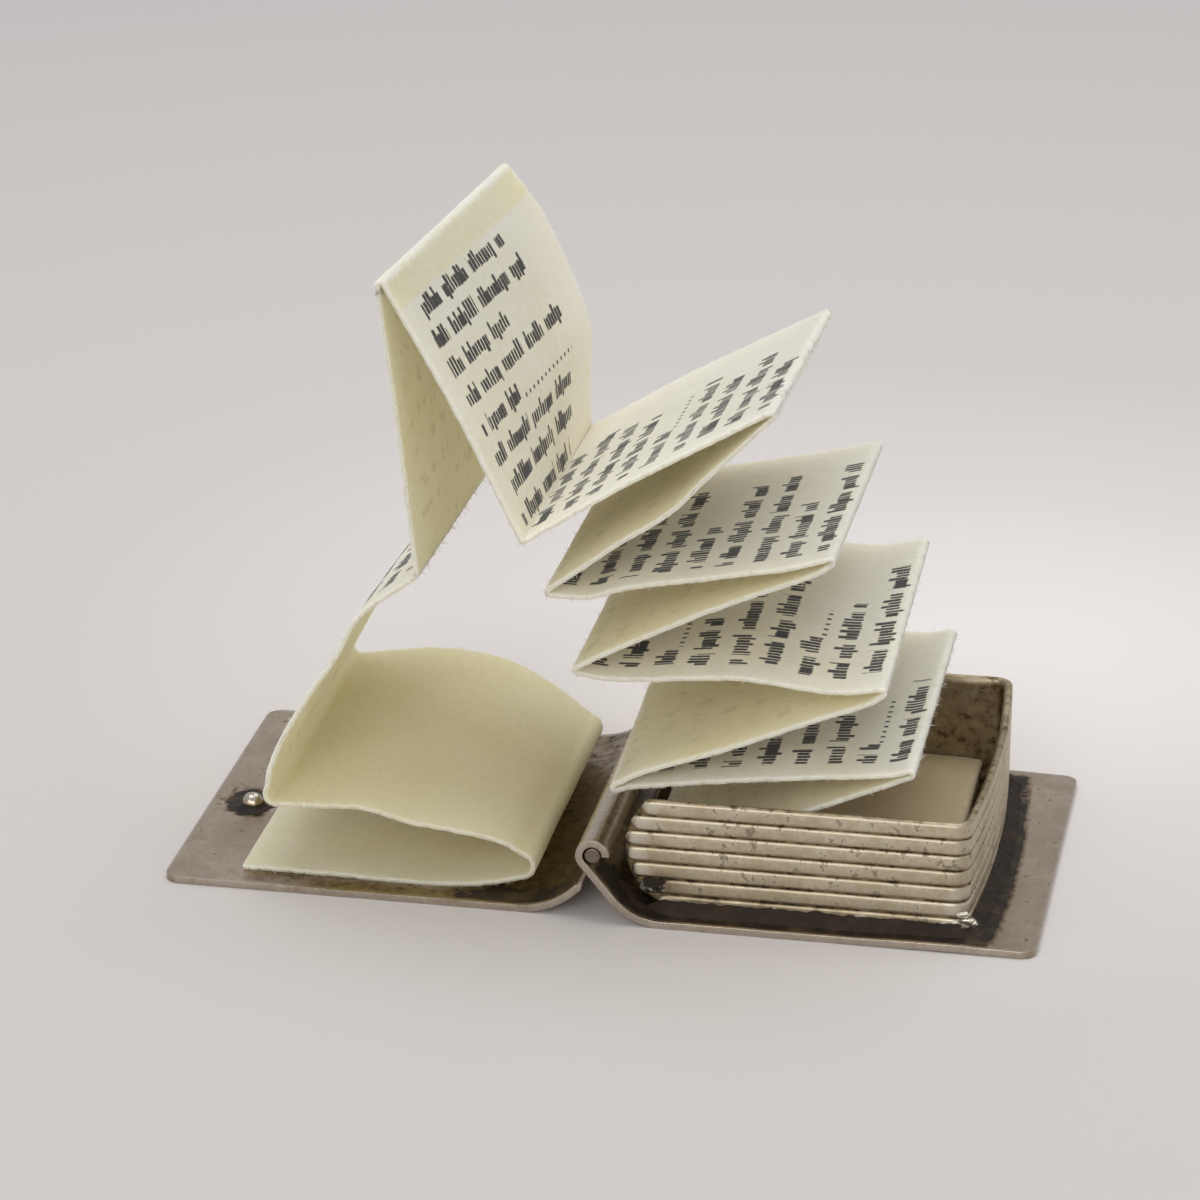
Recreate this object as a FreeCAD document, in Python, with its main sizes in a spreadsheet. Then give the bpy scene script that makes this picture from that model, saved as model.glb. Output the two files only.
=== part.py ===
import FreeCAD, Part
import math
import os
import Sketcher
from FreeCAD import Placement, Rotation, Vector

# A miniature silver book, lying open on a table, with a paper strip folded zigzag between its covers.
# X runs across the spine, Y along the hinge and Z up. The origin lies under the hinge axis,
# half way along it, on the surface that the book rests on. All sizes are millimetres and degrees.

SIZES = {
    # covers, cut and bent from one gauge of sheet; the margin lies beyond the fore-edge of the box
    "cover_margin": 2.0,
    "cover_depth": 15.0,
    "sheet_gauge": 0.24,
    "corner_radius": 0.55,
    "cover_shift": 0.4,
    # bend of each cover up to the hinge
    "hinge_height": 2.38,
    "spine_angle": 50.0,
    "back_bend": 2.1,
    "front_bend": 2.8,
    # hinge
    "pin_radius": 0.27,
    "pin_recess": 0.05,
    "pin_dome": 0.06,
    "hinge_play": 0.05,
    "knuckle_length": 4.8,
    "knuckle_gap": 0.1,
    "cut_clearance": 0.08,
    # box of ridged strip that stands for the page edges
    "box_length": 12.55,
    "box_width": 13.2,
    "box_offset": 0.1,
    "box_wall": 0.3,
    "box_corner": 0.6,
    "fore_edge_bulge": 0.35,
    "spine_round": 2.15,
    "spine_reach": 0.82,
    "cut_margin": 1.0,
    "ridge_count": 7,
    "ridge_pitch": 0.55,
    "groove_width": 0.12,
    "groove_depth": 0.07,
    "solder_width": 0.5,
    "solder_height": 0.42,
    # catch that grips the fore-edge of the box
    "stud_radius": 0.42,
    "stud_rise": 0.55,
    "stud_skirt": 0.3,
    "stud_skirt_rise": 0.12,
    "stud_clearance": 0.06,
    "stud_place": -0.85,
    # paper strip: its folds, and how far its two ends stop short of the box wall and of the stud
    "paper_gauge": 0.16,
    "paper_play": 0.06,
    "glue_film": 0.02,
    "panel_margin": 2.35,
    "fold_radius": 0.11,
    "soft_fold_radius": 0.35,
    "wide_fold_radius": 0.42,
    "box_end_gap": 1.05,
    "box_fold": 1.6,
    "box_fold_rise": 0.58,
    "cover_end_gap": 0.24,
    "cover_fold": 2.62,
    "cover_fold_rise": 0.96,
    "tab_bow": 0.12,
}

# Panels of the strip that pile up from the bottom of the box, each one nearer to the crest.
# A row holds the heading of the near edge and of the far edge, what the panel's own curl takes
# off its length, and how far its near and its far edge bow to the left of their heading.
BOX_PANELS = [
    (0.5, 0.5, 0.4, 0.0, 0.0),
    (176.3, 176.3, 0.3, 0.0, 0.0),
    (25.0, 26.0, 0.4, 0.0, 0.0),
    (187.5, 184.5, 0.2, -0.1, -0.1),
    (25.0, 25.0, 0.4, 0.05, 0.05),
    (180.0, 185.0, 0.0, -0.12, -0.12),
    (28.0, 27.5, 0.7, 0.1, 0.1),
    (190.5, 190.5, 0.7, 0.1, 0.1),
    (42.5, 41.0, 0.35, -0.35, -0.25),
    (210.5, 209.0, 0.7, -0.12, -0.12),
]

# Panels that climb from the front cover to the same crest, in the same terms.
COVER_PANELS = [
    (167.5, 163.5, 1.4, -0.4, -1.1),
    (60.0, 58.0, 0.5, 0.6, 0.4),
]

# The two panels that meet at the crest: what the curl takes off, and the bows on the way over.
CREST_PANELS = [
    (0.45, -0.15, -0.95),
    (0.1, 0.06, 0.06),
]

doc = FreeCAD.newDocument("OpenBook")


def make_sheet():
    """Write the driving sizes to a spreadsheet, one alias each."""
    sheet = doc.addObject("Spreadsheet::Sheet", "Sizes")
    for row, (name, value) in enumerate(SIZES.items(), start=1):
        sheet.set("A%d" % row, name)
        sheet.set("B%d" % row, repr(value))
        sheet.setAlias("B%d" % row, name)
    doc.recompute()
    return sheet


sizes = make_sheet()


def size(name):
    return float(sizes.get(name))


def new_body(label):
    body = doc.addObject("PartDesign::Body", label.title().replace("_", ""))
    body.Label = label
    return body


def new_sketch(body, name, role, offset=None):
    """A sketch on one of the body's origin planes, set off along its normal by a formula."""
    sketch = body.newObject("Sketcher::SketchObject", name)
    plane = [feature for feature in body.Origin.OriginFeatures if feature.Role == role][0]
    sketch.AttachmentSupport = (plane, [""])
    sketch.MapMode = "FlatFace"
    if offset:
        sketch.setExpression("AttachmentOffset.Base.z", offset)
    return sketch


def bind(sketch, formula, kind, *items):
    """Add a dimension with its present value, then tie it to a formula of the spreadsheet."""
    index = sketch.addConstraint(Sketcher.Constraint(kind, *items))
    sketch.setExpression("Constraints[%d]" % index, formula)


def line(start, end):
    return Part.LineSegment(Vector(*start, 0), Vector(*end, 0))


def arc(centre, radius, first, last):
    """An arc drawn counter-clockwise between two angles in degrees."""
    circle = Part.Circle(Vector(*centre, 0), Vector(0, 0, 1), radius)
    return Part.ArcOfCircle(circle, math.radians(first), math.radians(last))


def add_frame(sketch, left, right, low, high):
    """A closed rectangle. Each side is a pair: its value now and its formula."""
    corners = [(left[0], low[0]), (right[0], low[0]), (right[0], high[0]), (left[0], high[0])]
    first = sketch.GeometryCount
    for number in range(4):
        sketch.addGeometry(line(corners[number], corners[(number + 1) % 4]))
    for number in range(4):
        after = first + (number + 1) % 4
        sketch.addConstraint(Sketcher.Constraint("Coincident", first + number, 2, after, 1))
        level = "Horizontal" if number % 2 == 0 else "Vertical"
        sketch.addConstraint(Sketcher.Constraint(level, first + number))
    bind(sketch, left[1], "DistanceX", -1, 1, first, 1, left[0])
    bind(sketch, low[1], "DistanceY", -1, 1, first, 1, low[0])
    bind(sketch, right[1], "DistanceX", -1, 1, first + 2, 1, right[0])
    bind(sketch, high[1], "DistanceY", -1, 1, first + 2, 1, high[0])


def round_edges(body, name, base, chosen, formula):
    """Fillet the edges of a feature that pass a test."""
    names = ["Edge%d" % (i + 1) for i, edge in enumerate(base.Shape.Edges) if chosen(edge)]
    fillet = body.newObject("PartDesign::Fillet", name)
    fillet.Base = (base, names)
    fillet.setExpression("Radius", formula)
    return fillet


def cut(body, name, sketch, both_ways=False):
    """Pocket right through the body, upwards or both ways, and make sure that it cuts."""
    before = body.Shape.Volume
    pocket = body.newObject("PartDesign::Pocket", name)
    pocket.Profile = sketch
    pocket.Type = "ThroughAll"
    if both_ways:
        pocket.Midplane = True
    else:
        pocket.Reversed = True
    doc.recompute()
    if not pocket.Shape.Volume < before:
        raise ValueError(name + " cuts nothing")
    return pocket


# The covers

COVER_LENGTH = "(Sizes.box_length + Sizes.cover_margin)"
CUT_BACK = "(Sizes.pin_radius + Sizes.hinge_play + Sizes.sheet_gauge + Sizes.cut_clearance)"
CURL_MID = "(Sizes.pin_radius + Sizes.hinge_play + Sizes.sheet_gauge / 2)"


def cover_length():
    return size("box_length") + size("cover_margin")


def cut_back():
    """How far from the hinge axis a cover stops where it makes room for the other's knuckle."""
    return size("pin_radius") + size("hinge_play") + size("sheet_gauge") + size("cut_clearance")


def bend_line(body, side, bend_name):
    """Middle of the sheet seen from the near end: plate, bend, ramp and the curl round the pin.

    side is 1 for the cover on the right and -1 for the one on the left.
    """
    middle = size("sheet_gauge") / 2
    curl = size("pin_radius") + size("hinge_play") + middle
    bend = size(bend_name)
    height = size("hinge_height")
    slope = math.radians(size("spine_angle"))
    curl_end = (-curl * math.sin(slope), height - curl * math.cos(slope))
    bend_top = middle + bend - bend * math.cos(slope)
    ramp = (curl_end[1] - bend_top) / math.sin(slope)
    bend_start = curl_end[0] + ramp * math.cos(slope) + bend * math.sin(slope)
    top = (bend_start - bend * math.sin(slope), bend_top)
    turn = size("spine_angle")

    sketch = new_sketch(body, "BendLine" + body.Name, "XZ_Plane")
    sketch.addGeometry(line((side * cover_length(), middle), (side * bend_start, middle)))
    if side > 0:
        sketch.addGeometry(arc((bend_start, middle + bend), bend, 270 - turn, 270))
        sketch.addGeometry(line(top, curl_end))
        sketch.addGeometry(arc((0, height), curl, 0, 270 - turn))
        lower_vertex, upper_vertex = 2, 1
    else:
        sketch.addGeometry(arc((-bend_start, middle + bend), bend, 270, 270 + turn))
        sketch.addGeometry(line((-top[0], top[1]), (-curl_end[0], curl_end[1])))
        sketch.addGeometry(arc((0, height), curl, 270 + turn, 540))
        lower_vertex, upper_vertex = 1, 2
    plate, hollow, climb, knuckle = 0, 1, 2, 3
    for rule in (
        ("Tangent", plate, 2, hollow, lower_vertex),
        ("Tangent", hollow, upper_vertex, climb, 1),
        ("Tangent", climb, 2, knuckle, lower_vertex),
        ("Horizontal", plate),
        ("PointOnObject", knuckle, 3, -2),
        ("Horizontal", knuckle, 3, knuckle, upper_vertex),
    ):
        sketch.addConstraint(Sketcher.Constraint(*rule))
    bind(sketch, "Sizes.sheet_gauge / 2", "DistanceY", -1, 1, plate, 1, middle)
    sign = "" if side > 0 else "-"
    bind(sketch, sign + COVER_LENGTH, "DistanceX", -1, 1, plate, 1, side * cover_length())
    bind(sketch, "Sizes." + bend_name, "Radius", hollow, bend)
    bind(sketch, CURL_MID, "Radius", knuckle, curl)
    bind(sketch, "Sizes.hinge_height", "DistanceY", -1, 1, knuckle, 3, height)
    ramp_angle = "180 deg - Sizes.spine_angle * 1 deg" if side > 0 else "Sizes.spine_angle * 1 deg"
    bind(sketch, ramp_angle, "Angle", climb, math.pi - slope if side > 0 else slope)
    return sketch


def make_cover(label, side, bend_name, shift_formula, shift):
    """A plate of sheet drawn along its bend line, with its two free corners rounded."""
    body = new_body(label)
    path = bend_line(body, side, bend_name)
    reach = COVER_LENGTH if side > 0 else "-" + COVER_LENGTH
    section = new_sketch(body, "Section" + body.Name, "YZ_Plane", reach)
    half = size("cover_depth") / 2
    add_frame(
        section,
        (shift - half, shift_formula + " - Sizes.cover_depth / 2"),
        (shift + half, shift_formula + " + Sizes.cover_depth / 2"),
        (0.0, "0"),
        (size("sheet_gauge"), "Sizes.sheet_gauge"),
    )
    doc.recompute()
    plate = body.newObject("PartDesign::AdditivePipe", "Plate" + body.Name)
    plate.Profile = section
    plate.Spine = (path, [""])
    doc.recompute()

    def is_free_corner(edge):
        ends = [vertex.Point for vertex in edge.Vertexes]
        upright = len(ends) == 2 and abs(ends[0].z - ends[1].z) > size("sheet_gauge") * 0.9
        return upright and all(abs(abs(end.x) - cover_length()) < 0.01 for end in ends)

    round_edges(body, "Corners" + body.Name, plate, is_free_corner, "Sizes.corner_radius")
    doc.recompute()
    return body


def make_back_cover():
    """The cover that lies under the box. Its curl is cut away for the middle knuckle."""
    body = make_cover("back_cover", 1, "back_bend", "0", 0.0)
    notch = new_sketch(body, "MiddleNotch", "XY_Plane")
    half = size("knuckle_length") / 2 + size("knuckle_gap")
    add_frame(
        notch,
        (-4 * cut_back(), "-4 * " + CUT_BACK),
        (cut_back(), CUT_BACK),
        (-half, "-Sizes.knuckle_length / 2 - Sizes.knuckle_gap"),
        (half, "Sizes.knuckle_length / 2 + Sizes.knuckle_gap"),
    )
    doc.recompute()
    cut(body, "MiddleCut", notch)
    return body


def make_front_cover():
    """The cover that swings. Only its middle third reaches the pin."""
    body = make_cover("front_cover", -1, "front_bend", "Sizes.cover_shift", size("cover_shift"))
    notch = new_sketch(body, "OuterNotches", "XY_Plane")
    half = size("knuckle_length") / 2
    beyond = size("cover_depth")
    for low, high, low_formula, high_formula in (
        (half, beyond, "Sizes.knuckle_length / 2", "Sizes.cover_depth"),
        (-beyond, -half, "-Sizes.cover_depth", "-Sizes.knuckle_length / 2"),
    ):
        add_frame(
            notch,
            (-cut_back(), "-" + CUT_BACK),
            (4 * cut_back(), "4 * " + CUT_BACK),
            (low, low_formula),
            (high, high_formula),
        )
    doc.recompute()
    cut(body, "OuterCuts", notch)
    return body


def make_hinge_pin():
    """A plain wire pin with softened ends, a loose fit in the curls."""
    body = new_body("hinge_pin")
    sketch = new_sketch(body, "PinSection", "XZ_Plane")
    sketch.addGeometry(Part.Circle(Vector(0, size("hinge_height"), 0), Vector(0, 0, 1), size("pin_radius")))
    sketch.addConstraint(Sketcher.Constraint("PointOnObject", 0, 3, -2))
    bind(sketch, "Sizes.hinge_height", "DistanceY", -1, 1, 0, 3, size("hinge_height"))
    bind(sketch, "Sizes.pin_radius", "Radius", 0, size("pin_radius"))
    pad = body.newObject("PartDesign::Pad", "PinWire")
    pad.Profile = sketch
    pad.Midplane = True
    pad.setExpression("Length", "Sizes.cover_depth - 2 * Sizes.pin_recess")
    doc.recompute()
    round_edges(body, "PinEnds", pad, lambda edge: isinstance(edge.Curve, Part.Circle), "Sizes.pin_dome")
    return body


# The box

WALL_TOP = "(Sizes.sheet_gauge + Sizes.ridge_count * Sizes.ridge_pitch)"
BOX_NEAR = "(Sizes.box_offset - Sizes.box_width / 2)"
BOX_FAR = "(Sizes.box_offset + Sizes.box_width / 2)"
FORE_EDGE_RADIUS = "((Sizes.box_width ^ 2 / 4 + Sizes.fore_edge_bulge ^ 2) / (2 * Sizes.fore_edge_bulge))"


def wall_top():
    return size("sheet_gauge") + size("ridge_count") * size("ridge_pitch")


def box_side(sign):
    return size("box_offset") + sign * size("box_width") / 2


def wall_line(body):
    """Outer face of the wall seen from above: near side, bowed fore-edge, far side."""
    bulge = size("fore_edge_bulge")
    half = size("box_width") / 2
    radius = (half ** 2 + bulge ** 2) / (2 * bulge)
    corner = size("box_corner")
    middle = size("box_offset")
    centre = size("box_length") - radius
    rise = half - corner
    run = math.sqrt((radius - corner) ** 2 - rise ** 2)
    spread = math.degrees(math.asin(rise / (radius - corner)))
    near, far = box_side(-1), box_side(1)
    start = size("spine_reach")

    sketch = new_sketch(body, "WallLine", "XY_Plane", "Sizes.sheet_gauge")
    sketch.addGeometry(line((start, near), (centre + run, near)))
    sketch.addGeometry(arc((centre + run, near + corner), corner, -90, -spread))
    sketch.addGeometry(arc((centre, middle), radius, -spread, spread))
    sketch.addGeometry(arc((centre + run, far - corner), corner, spread, 90))
    sketch.addGeometry(line((centre + run, far), (start, far)))
    for first in range(4):
        sketch.addConstraint(Sketcher.Constraint("Tangent", first, 2, first + 1, 1))
    sketch.addConstraint(Sketcher.Constraint("Horizontal", 0))
    sketch.addConstraint(Sketcher.Constraint("Horizontal", 4))
    bind(sketch, BOX_NEAR, "DistanceY", -1, 1, 0, 1, near)
    bind(sketch, BOX_FAR, "DistanceY", -1, 1, 4, 2, far)
    bind(sketch, "Sizes.spine_reach", "DistanceX", -1, 1, 0, 1, start)
    bind(sketch, "Sizes.spine_reach", "DistanceX", -1, 1, 4, 2, start)
    bind(sketch, "Sizes.box_corner", "Radius", 1, corner)
    bind(sketch, "Sizes.box_corner", "Radius", 3, corner)
    bind(sketch, FORE_EDGE_RADIUS, "Radius", 2, radius)
    bind(sketch, "Sizes.box_offset", "DistanceY", -1, 1, 2, 3, middle)
    bind(sketch, "Sizes.box_length - " + FORE_EDGE_RADIUS, "DistanceX", -1, 1, 2, 3, centre)
    return sketch


def close_loop(sketch, points):
    """Straight sides through the given corners, joined into a ring."""
    first = sketch.GeometryCount
    count = len(points)
    for number in range(count):
        sketch.addGeometry(line(points[number], points[(number + 1) % count]))
    for number in range(count):
        after = first + (number + 1) % count
        sketch.addConstraint(Sketcher.Constraint("Coincident", first + number, 2, after, 1))
    return first


def groove_section(body):
    """One V groove in the outer face, a ridge above the foot of the wall."""
    near = box_side(-1)
    level = size("sheet_gauge") + size("ridge_pitch")
    half = size("groove_width") / 2
    depth = size("groove_depth")
    sketch = new_sketch(body, "GrooveSection", "YZ_Plane", "Sizes.spine_reach")
    close_loop(sketch, [(near, level - half), (near + depth, level), (near, level + half)])
    place = "Sizes.sheet_gauge + Sizes.ridge_pitch"
    sketch.addConstraint(Sketcher.Constraint("Vertical", 2))
    bind(sketch, BOX_NEAR, "DistanceX", -1, 1, 0, 1, near)
    bind(sketch, place + " - Sizes.groove_width / 2", "DistanceY", -1, 1, 0, 1, level - half)
    bind(sketch, BOX_NEAR + " + Sizes.groove_depth", "DistanceX", -1, 1, 1, 1, near + depth)
    bind(sketch, place, "DistanceY", -1, 1, 1, 1, level)
    bind(sketch, place + " + Sizes.groove_width / 2", "DistanceY", -1, 1, 2, 1, level + half)
    return sketch


def solder_section(body):
    """The seam of solder along the outer foot of the wall."""
    near = box_side(-1)
    floor = size("sheet_gauge")
    width, height = size("solder_width"), size("solder_height")
    sketch = new_sketch(body, "SolderSection", "YZ_Plane", "Sizes.spine_reach")
    close_loop(sketch, [(near - width, floor), (near, floor), (near, floor + height)])
    sketch.addConstraint(Sketcher.Constraint("Horizontal", 0))
    sketch.addConstraint(Sketcher.Constraint("Vertical", 1))
    bind(sketch, BOX_NEAR + " - Sizes.solder_width", "DistanceX", -1, 1, 0, 1, near - width)
    bind(sketch, "Sizes.sheet_gauge", "DistanceY", -1, 1, 0, 1, floor)
    bind(sketch, BOX_NEAR, "DistanceX", -1, 1, 0, 2, near)
    bind(sketch, "Sizes.sheet_gauge + Sizes.solder_height", "DistanceY", -1, 1, 1, 2, floor + height)
    return sketch


def spine_end(body):
    """Everything to the left of the rounded ends of the two side walls."""
    radius = size("spine_round")
    centre = (size("spine_reach") + radius, size("hinge_height"))
    margin = size("cut_margin")
    low, high = centre[1] - radius - margin, centre[1] + radius + margin
    left = -margin
    sketch = new_sketch(body, "SpineEnd", "XZ_Plane")
    sketch.addGeometry(arc(centre, radius, 90, 270))
    corners = [(centre[0], centre[1] - radius), (centre[0], low), (left, low)]
    corners += [(left, high), (centre[0], high), (centre[0], centre[1] + radius)]
    for start, end in zip(corners, corners[1:]):
        sketch.addGeometry(line(start, end))
    for number in range(6):
        sketch.addConstraint(Sketcher.Constraint("Coincident", number, 2, (number + 1) % 6, 1))
    for number in (1, 3, 5):
        sketch.addConstraint(Sketcher.Constraint("Vertical", number))
    for number in (2, 4):
        sketch.addConstraint(Sketcher.Constraint("Horizontal", number))
    sketch.addConstraint(Sketcher.Constraint("Vertical", 0, 3, 0, 1))
    sketch.addConstraint(Sketcher.Constraint("Vertical", 0, 3, 0, 2))
    bind(sketch, "Sizes.spine_round", "Radius", 0, radius)
    bind(sketch, "Sizes.spine_reach + Sizes.spine_round", "DistanceX", -1, 1, 0, 3, centre[0])
    bind(sketch, "Sizes.hinge_height", "DistanceY", -1, 1, 0, 3, centre[1])
    bind(sketch, "-Sizes.cut_margin", "DistanceX", -1, 1, 3, 1, left)
    bind(sketch, "Sizes.hinge_height - Sizes.spine_round - Sizes.cut_margin", "DistanceY", -1, 1, 3, 1, low)
    bind(sketch, "Sizes.hinge_height + Sizes.spine_round + Sizes.cut_margin", "DistanceY", -1, 1, 4, 1, high)
    return sketch


def sweep(body, kind, name, section, path):
    feature = body.newObject("PartDesign::" + kind, name)
    feature.Profile = section
    feature.Spine = (path, [""])
    doc.recompute()
    return feature


def make_page_box():
    """A ridged strip bent round three sides and soldered down on the back cover."""
    body = new_body("page_box")
    path = wall_line(body)
    near = box_side(-1)
    wall = new_sketch(body, "WallSection", "YZ_Plane", "Sizes.spine_reach")
    add_frame(
        wall,
        (near, BOX_NEAR),
        (near + size("box_wall"), BOX_NEAR + " + Sizes.box_wall"),
        (size("sheet_gauge"), "Sizes.sheet_gauge"),
        (wall_top(), WALL_TOP),
    )
    groove = groove_section(body)
    solder = solder_section(body)
    end = spine_end(body)
    doc.recompute()
    sweep(body, "AdditivePipe", "Wall", wall, path)
    first_groove = sweep(body, "SubtractivePipe", "Groove", groove, path)
    ridges = body.newObject("PartDesign::LinearPattern", "Ridges")
    ridges.Originals = [first_groove]
    ridges.Direction = (wall, ["V_Axis"])
    ridges.setExpression("Length", "Sizes.ridge_pitch * (Sizes.ridge_count - 2)")
    ridges.setExpression("Occurrences", "Sizes.ridge_count - 1")
    body.Tip = ridges
    doc.recompute()
    sweep(body, "AdditivePipe", "Solder", solder, path)
    cut(body, "SpineCut", end, both_ways=True)
    return body


def make_catch_stud():
    """A domed stud in a spread of solder, turned about its own axis."""
    body = new_body("catch_stud")
    radius, rise = size("stud_radius"), size("stud_rise")
    skirt, skirt_rise = size("stud_skirt"), size("stud_skirt_rise")
    shoulder = rise - radius
    sketch = new_sketch(body, "StudProfile", "XZ_Plane")
    sketch.addGeometry(line((0, 0), (radius + skirt, 0)))
    sketch.addGeometry(line((radius + skirt, 0), (radius, skirt_rise)))
    sketch.addGeometry(line((radius, skirt_rise), (radius, shoulder)))
    sketch.addGeometry(arc((0, shoulder), radius, 0, 90))
    sketch.addGeometry(line((0, rise), (0, 0)))
    sketch.addConstraint(Sketcher.Constraint("Coincident", 0, 1, -1, 1))
    sketch.addConstraint(Sketcher.Constraint("Coincident", 0, 2, 1, 1))
    sketch.addConstraint(Sketcher.Constraint("Coincident", 1, 2, 2, 1))
    sketch.addConstraint(Sketcher.Constraint("Tangent", 2, 2, 3, 1))
    sketch.addConstraint(Sketcher.Constraint("Coincident", 3, 2, 4, 1))
    sketch.addConstraint(Sketcher.Constraint("Coincident", 4, 2, 0, 1))
    sketch.addConstraint(Sketcher.Constraint("Horizontal", 0))
    sketch.addConstraint(Sketcher.Constraint("Vertical", 2))
    sketch.addConstraint(Sketcher.Constraint("Vertical", 4))
    sketch.addConstraint(Sketcher.Constraint("PointOnObject", 3, 3, -2))
    bind(sketch, "Sizes.stud_radius + Sizes.stud_skirt", "DistanceX", -1, 1, 0, 2, radius + skirt)
    bind(sketch, "Sizes.stud_skirt_rise", "DistanceY", -1, 1, 1, 2, skirt_rise)
    bind(sketch, "Sizes.stud_radius", "Radius", 3, radius)
    bind(sketch, "Sizes.stud_rise", "DistanceY", -1, 1, 4, 1, rise)
    dome = body.newObject("PartDesign::Revolution", "Dome")
    dome.Profile = sketch
    dome.ReferenceAxis = (sketch, ["V_Axis"])
    dome.Angle = 360
    across = "-(Sizes.box_length + Sizes.stud_clearance + Sizes.stud_radius)"
    body.setExpression("Placement.Base.x", across)
    body.setExpression("Placement.Base.y", "Sizes.stud_place")
    body.setExpression("Placement.Base.z", "Sizes.sheet_gauge")
    doc.recompute()
    return body


# The paper

def along(degrees):
    turn = math.radians(degrees)
    return Vector(math.cos(turn), 0, math.sin(turn))


def left_of(degrees):
    return along(degrees + 90)


def heading(start, end):
    return math.degrees(math.atan2(end.z - start.z, end.x - start.x))


def crest_between(lower, upper, lower_length, upper_length):
    """The point at two given distances from two folds, on the upper side of them."""
    gap = upper - lower
    span = gap.Length
    first = (lower_length ** 2 - upper_length ** 2 + span ** 2) / (2 * span)
    rise = math.sqrt(lower_length ** 2 - first ** 2)
    direction = heading(lower, upper)
    side = left_of(direction) if left_of(direction).z > 0 else left_of(direction) * -1
    return lower + along(direction) * first + side * rise


def panel_length():
    """From fold to fold, so that a folded panel lies in the box with some room to spare."""
    return size("box_length") - size("box_wall") - size("panel_margin")


def fold_places(edge):
    """Centres of the folds along one edge of the strip, from the box end to the cover end.

    edge is 0 for the near edge and 1 for the far one.
    """
    flat = size("sheet_gauge") + size("glue_film") + size("paper_gauge") / 2
    length = panel_length()
    floor = size("sheet_gauge")
    climb = [Vector(size("box_fold"), 0, floor + size("box_fold_rise"))]
    for row in BOX_PANELS:
        climb.append(climb[-1] + along(row[edge]) * (length - row[2]))
    rise = [Vector(-size("cover_fold"), 0, floor + size("cover_fold_rise"))]
    for row in COVER_PANELS:
        rise.append(rise[-1] + along(row[edge]) * (length - row[2]))
    crest = crest_between(climb[-1], rise[-1], length - CREST_PANELS[0][0], length - CREST_PANELS[1][0])
    box_end = Vector(size("box_length") - size("box_wall") - size("box_end_gap"), 0, flat)
    stud_foot = size("box_length") + size("stud_clearance") - size("stud_skirt")
    cover_end = Vector(size("cover_end_gap") - stud_foot, 0, flat)
    return [box_end] + climb + [crest] + rise[::-1] + [cover_end]


def fold_radii():
    sharp = len(BOX_PANELS) + len(COVER_PANELS) + 1
    soft = [size("soft_fold_radius"), size("wide_fold_radius")]
    return [0.0] + [size("fold_radius")] * sharp + soft + [0.0]


def panel_bows(edge):
    """Bow of every panel to the left of the way from the box end to the cover end."""
    climb = [row[3 + edge] for row in BOX_PANELS]
    crest = [row[1 + edge] for row in CREST_PANELS]
    rise = [-row[3 + edge] for row in COVER_PANELS]
    return [0.0] + climb + crest + rise[::-1] + [size("tab_bow")]


def bowed_edge(start, end, bow, normal):
    """A straight edge, or a round one through a middle that stands off to the left."""
    if abs(bow) < 1e-6:
        return Part.LineSegment(start, end).toShape()
    return Part.Arc(start, (start + end) * 0.5 + normal * bow, end).toShape()


def strip_sides(edge, depth):
    """The two faces of the paper along one cut edge, as lists of edges in step with each other.

    The paper runs like a belt round its folds, to the left of one and to the right of the next.
    """
    places = fold_places(edge)
    radii = fold_radii()
    bows = panel_bows(edge)
    senses = [1 if number % 2 == 0 else -1 for number in range(len(places))]
    shift = Vector(0, depth, 0)
    ways = []
    for k in range(len(places) - 1):
        span = (places[k + 1] - places[k]).Length
        lean = math.degrees(math.asin((radii[k] + radii[k + 1]) / span))
        ways.append(heading(places[k], places[k + 1]) + senses[k] * lean)
    sides = []
    for half in (size("paper_gauge") / 2, -size("paper_gauge") / 2):
        def face_point(k, degrees):
            reach = radii[k] - senses[k] * half
            return places[k] + shift - left_of(degrees) * (senses[k] * reach)

        edges = []
        for k, way in enumerate(ways):
            edges.append(bowed_edge(face_point(k, way), face_point(k + 1, way), bows[k], left_of(way)))
            if k + 1 < len(ways):
                sense = senses[k + 1]
                turn = sense * ((sense * (ways[k + 1] - way)) % 360)
                middle = face_point(k + 1, way + turn / 2)
                ends = face_point(k + 1, way), face_point(k + 1, ways[k + 1])
                edges.append(Part.Arc(ends[0], middle, ends[1]).toShape())
        sides.append(edges)
    return sides


def make_folded_pages():
    """One strip of paper, its near and far outlines joined by ruled faces."""
    half = size("box_width") / 2 - size("box_wall") - size("paper_play")
    near_depth, far_depth = size("box_offset") - half, size("box_offset") + half
    near, far = strip_sides(0, near_depth), strip_sides(1, far_depth)
    faces = []
    for near_side, far_side in zip(near, far):
        for near_edge, far_edge in zip(near_side, far_side):
            faces.append(Part.makeRuledSurface(near_edge, far_edge))

    def cap(sides, last):
        ends = [side[-1 if last else 0].Vertexes[-1 if last else 0].Point for side in sides]
        return Part.LineSegment(ends[0], ends[1]).toShape()

    for last in (False, True):
        faces.append(Part.makeRuledSurface(cap(near, last), cap(far, last)))
    for sides in (near, far):
        outline = sides[0] + sides[1] + [cap(sides, False), cap(sides, True)]
        faces.append(Part.Face(Part.Wire(Part.__sortEdges__(outline))))
    shell = Part.makeShell(faces)
    shell.sewShape()
    solid = Part.makeSolid(shell)
    if solid.Volume < 0:
        solid.reverse()
    strip = doc.addObject("Part::Feature", "FoldedPages")
    strip.Label = "folded_pages"
    strip.Shape = solid
    strip.Placement = Placement(Vector(0, 0, 0), Rotation())
    return strip


parts = [
    make_back_cover(),
    make_front_cover(),
    make_hinge_pin(),
    make_page_box(),
    make_catch_stud(),
    make_folded_pages(),
]
doc.recompute()

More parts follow.
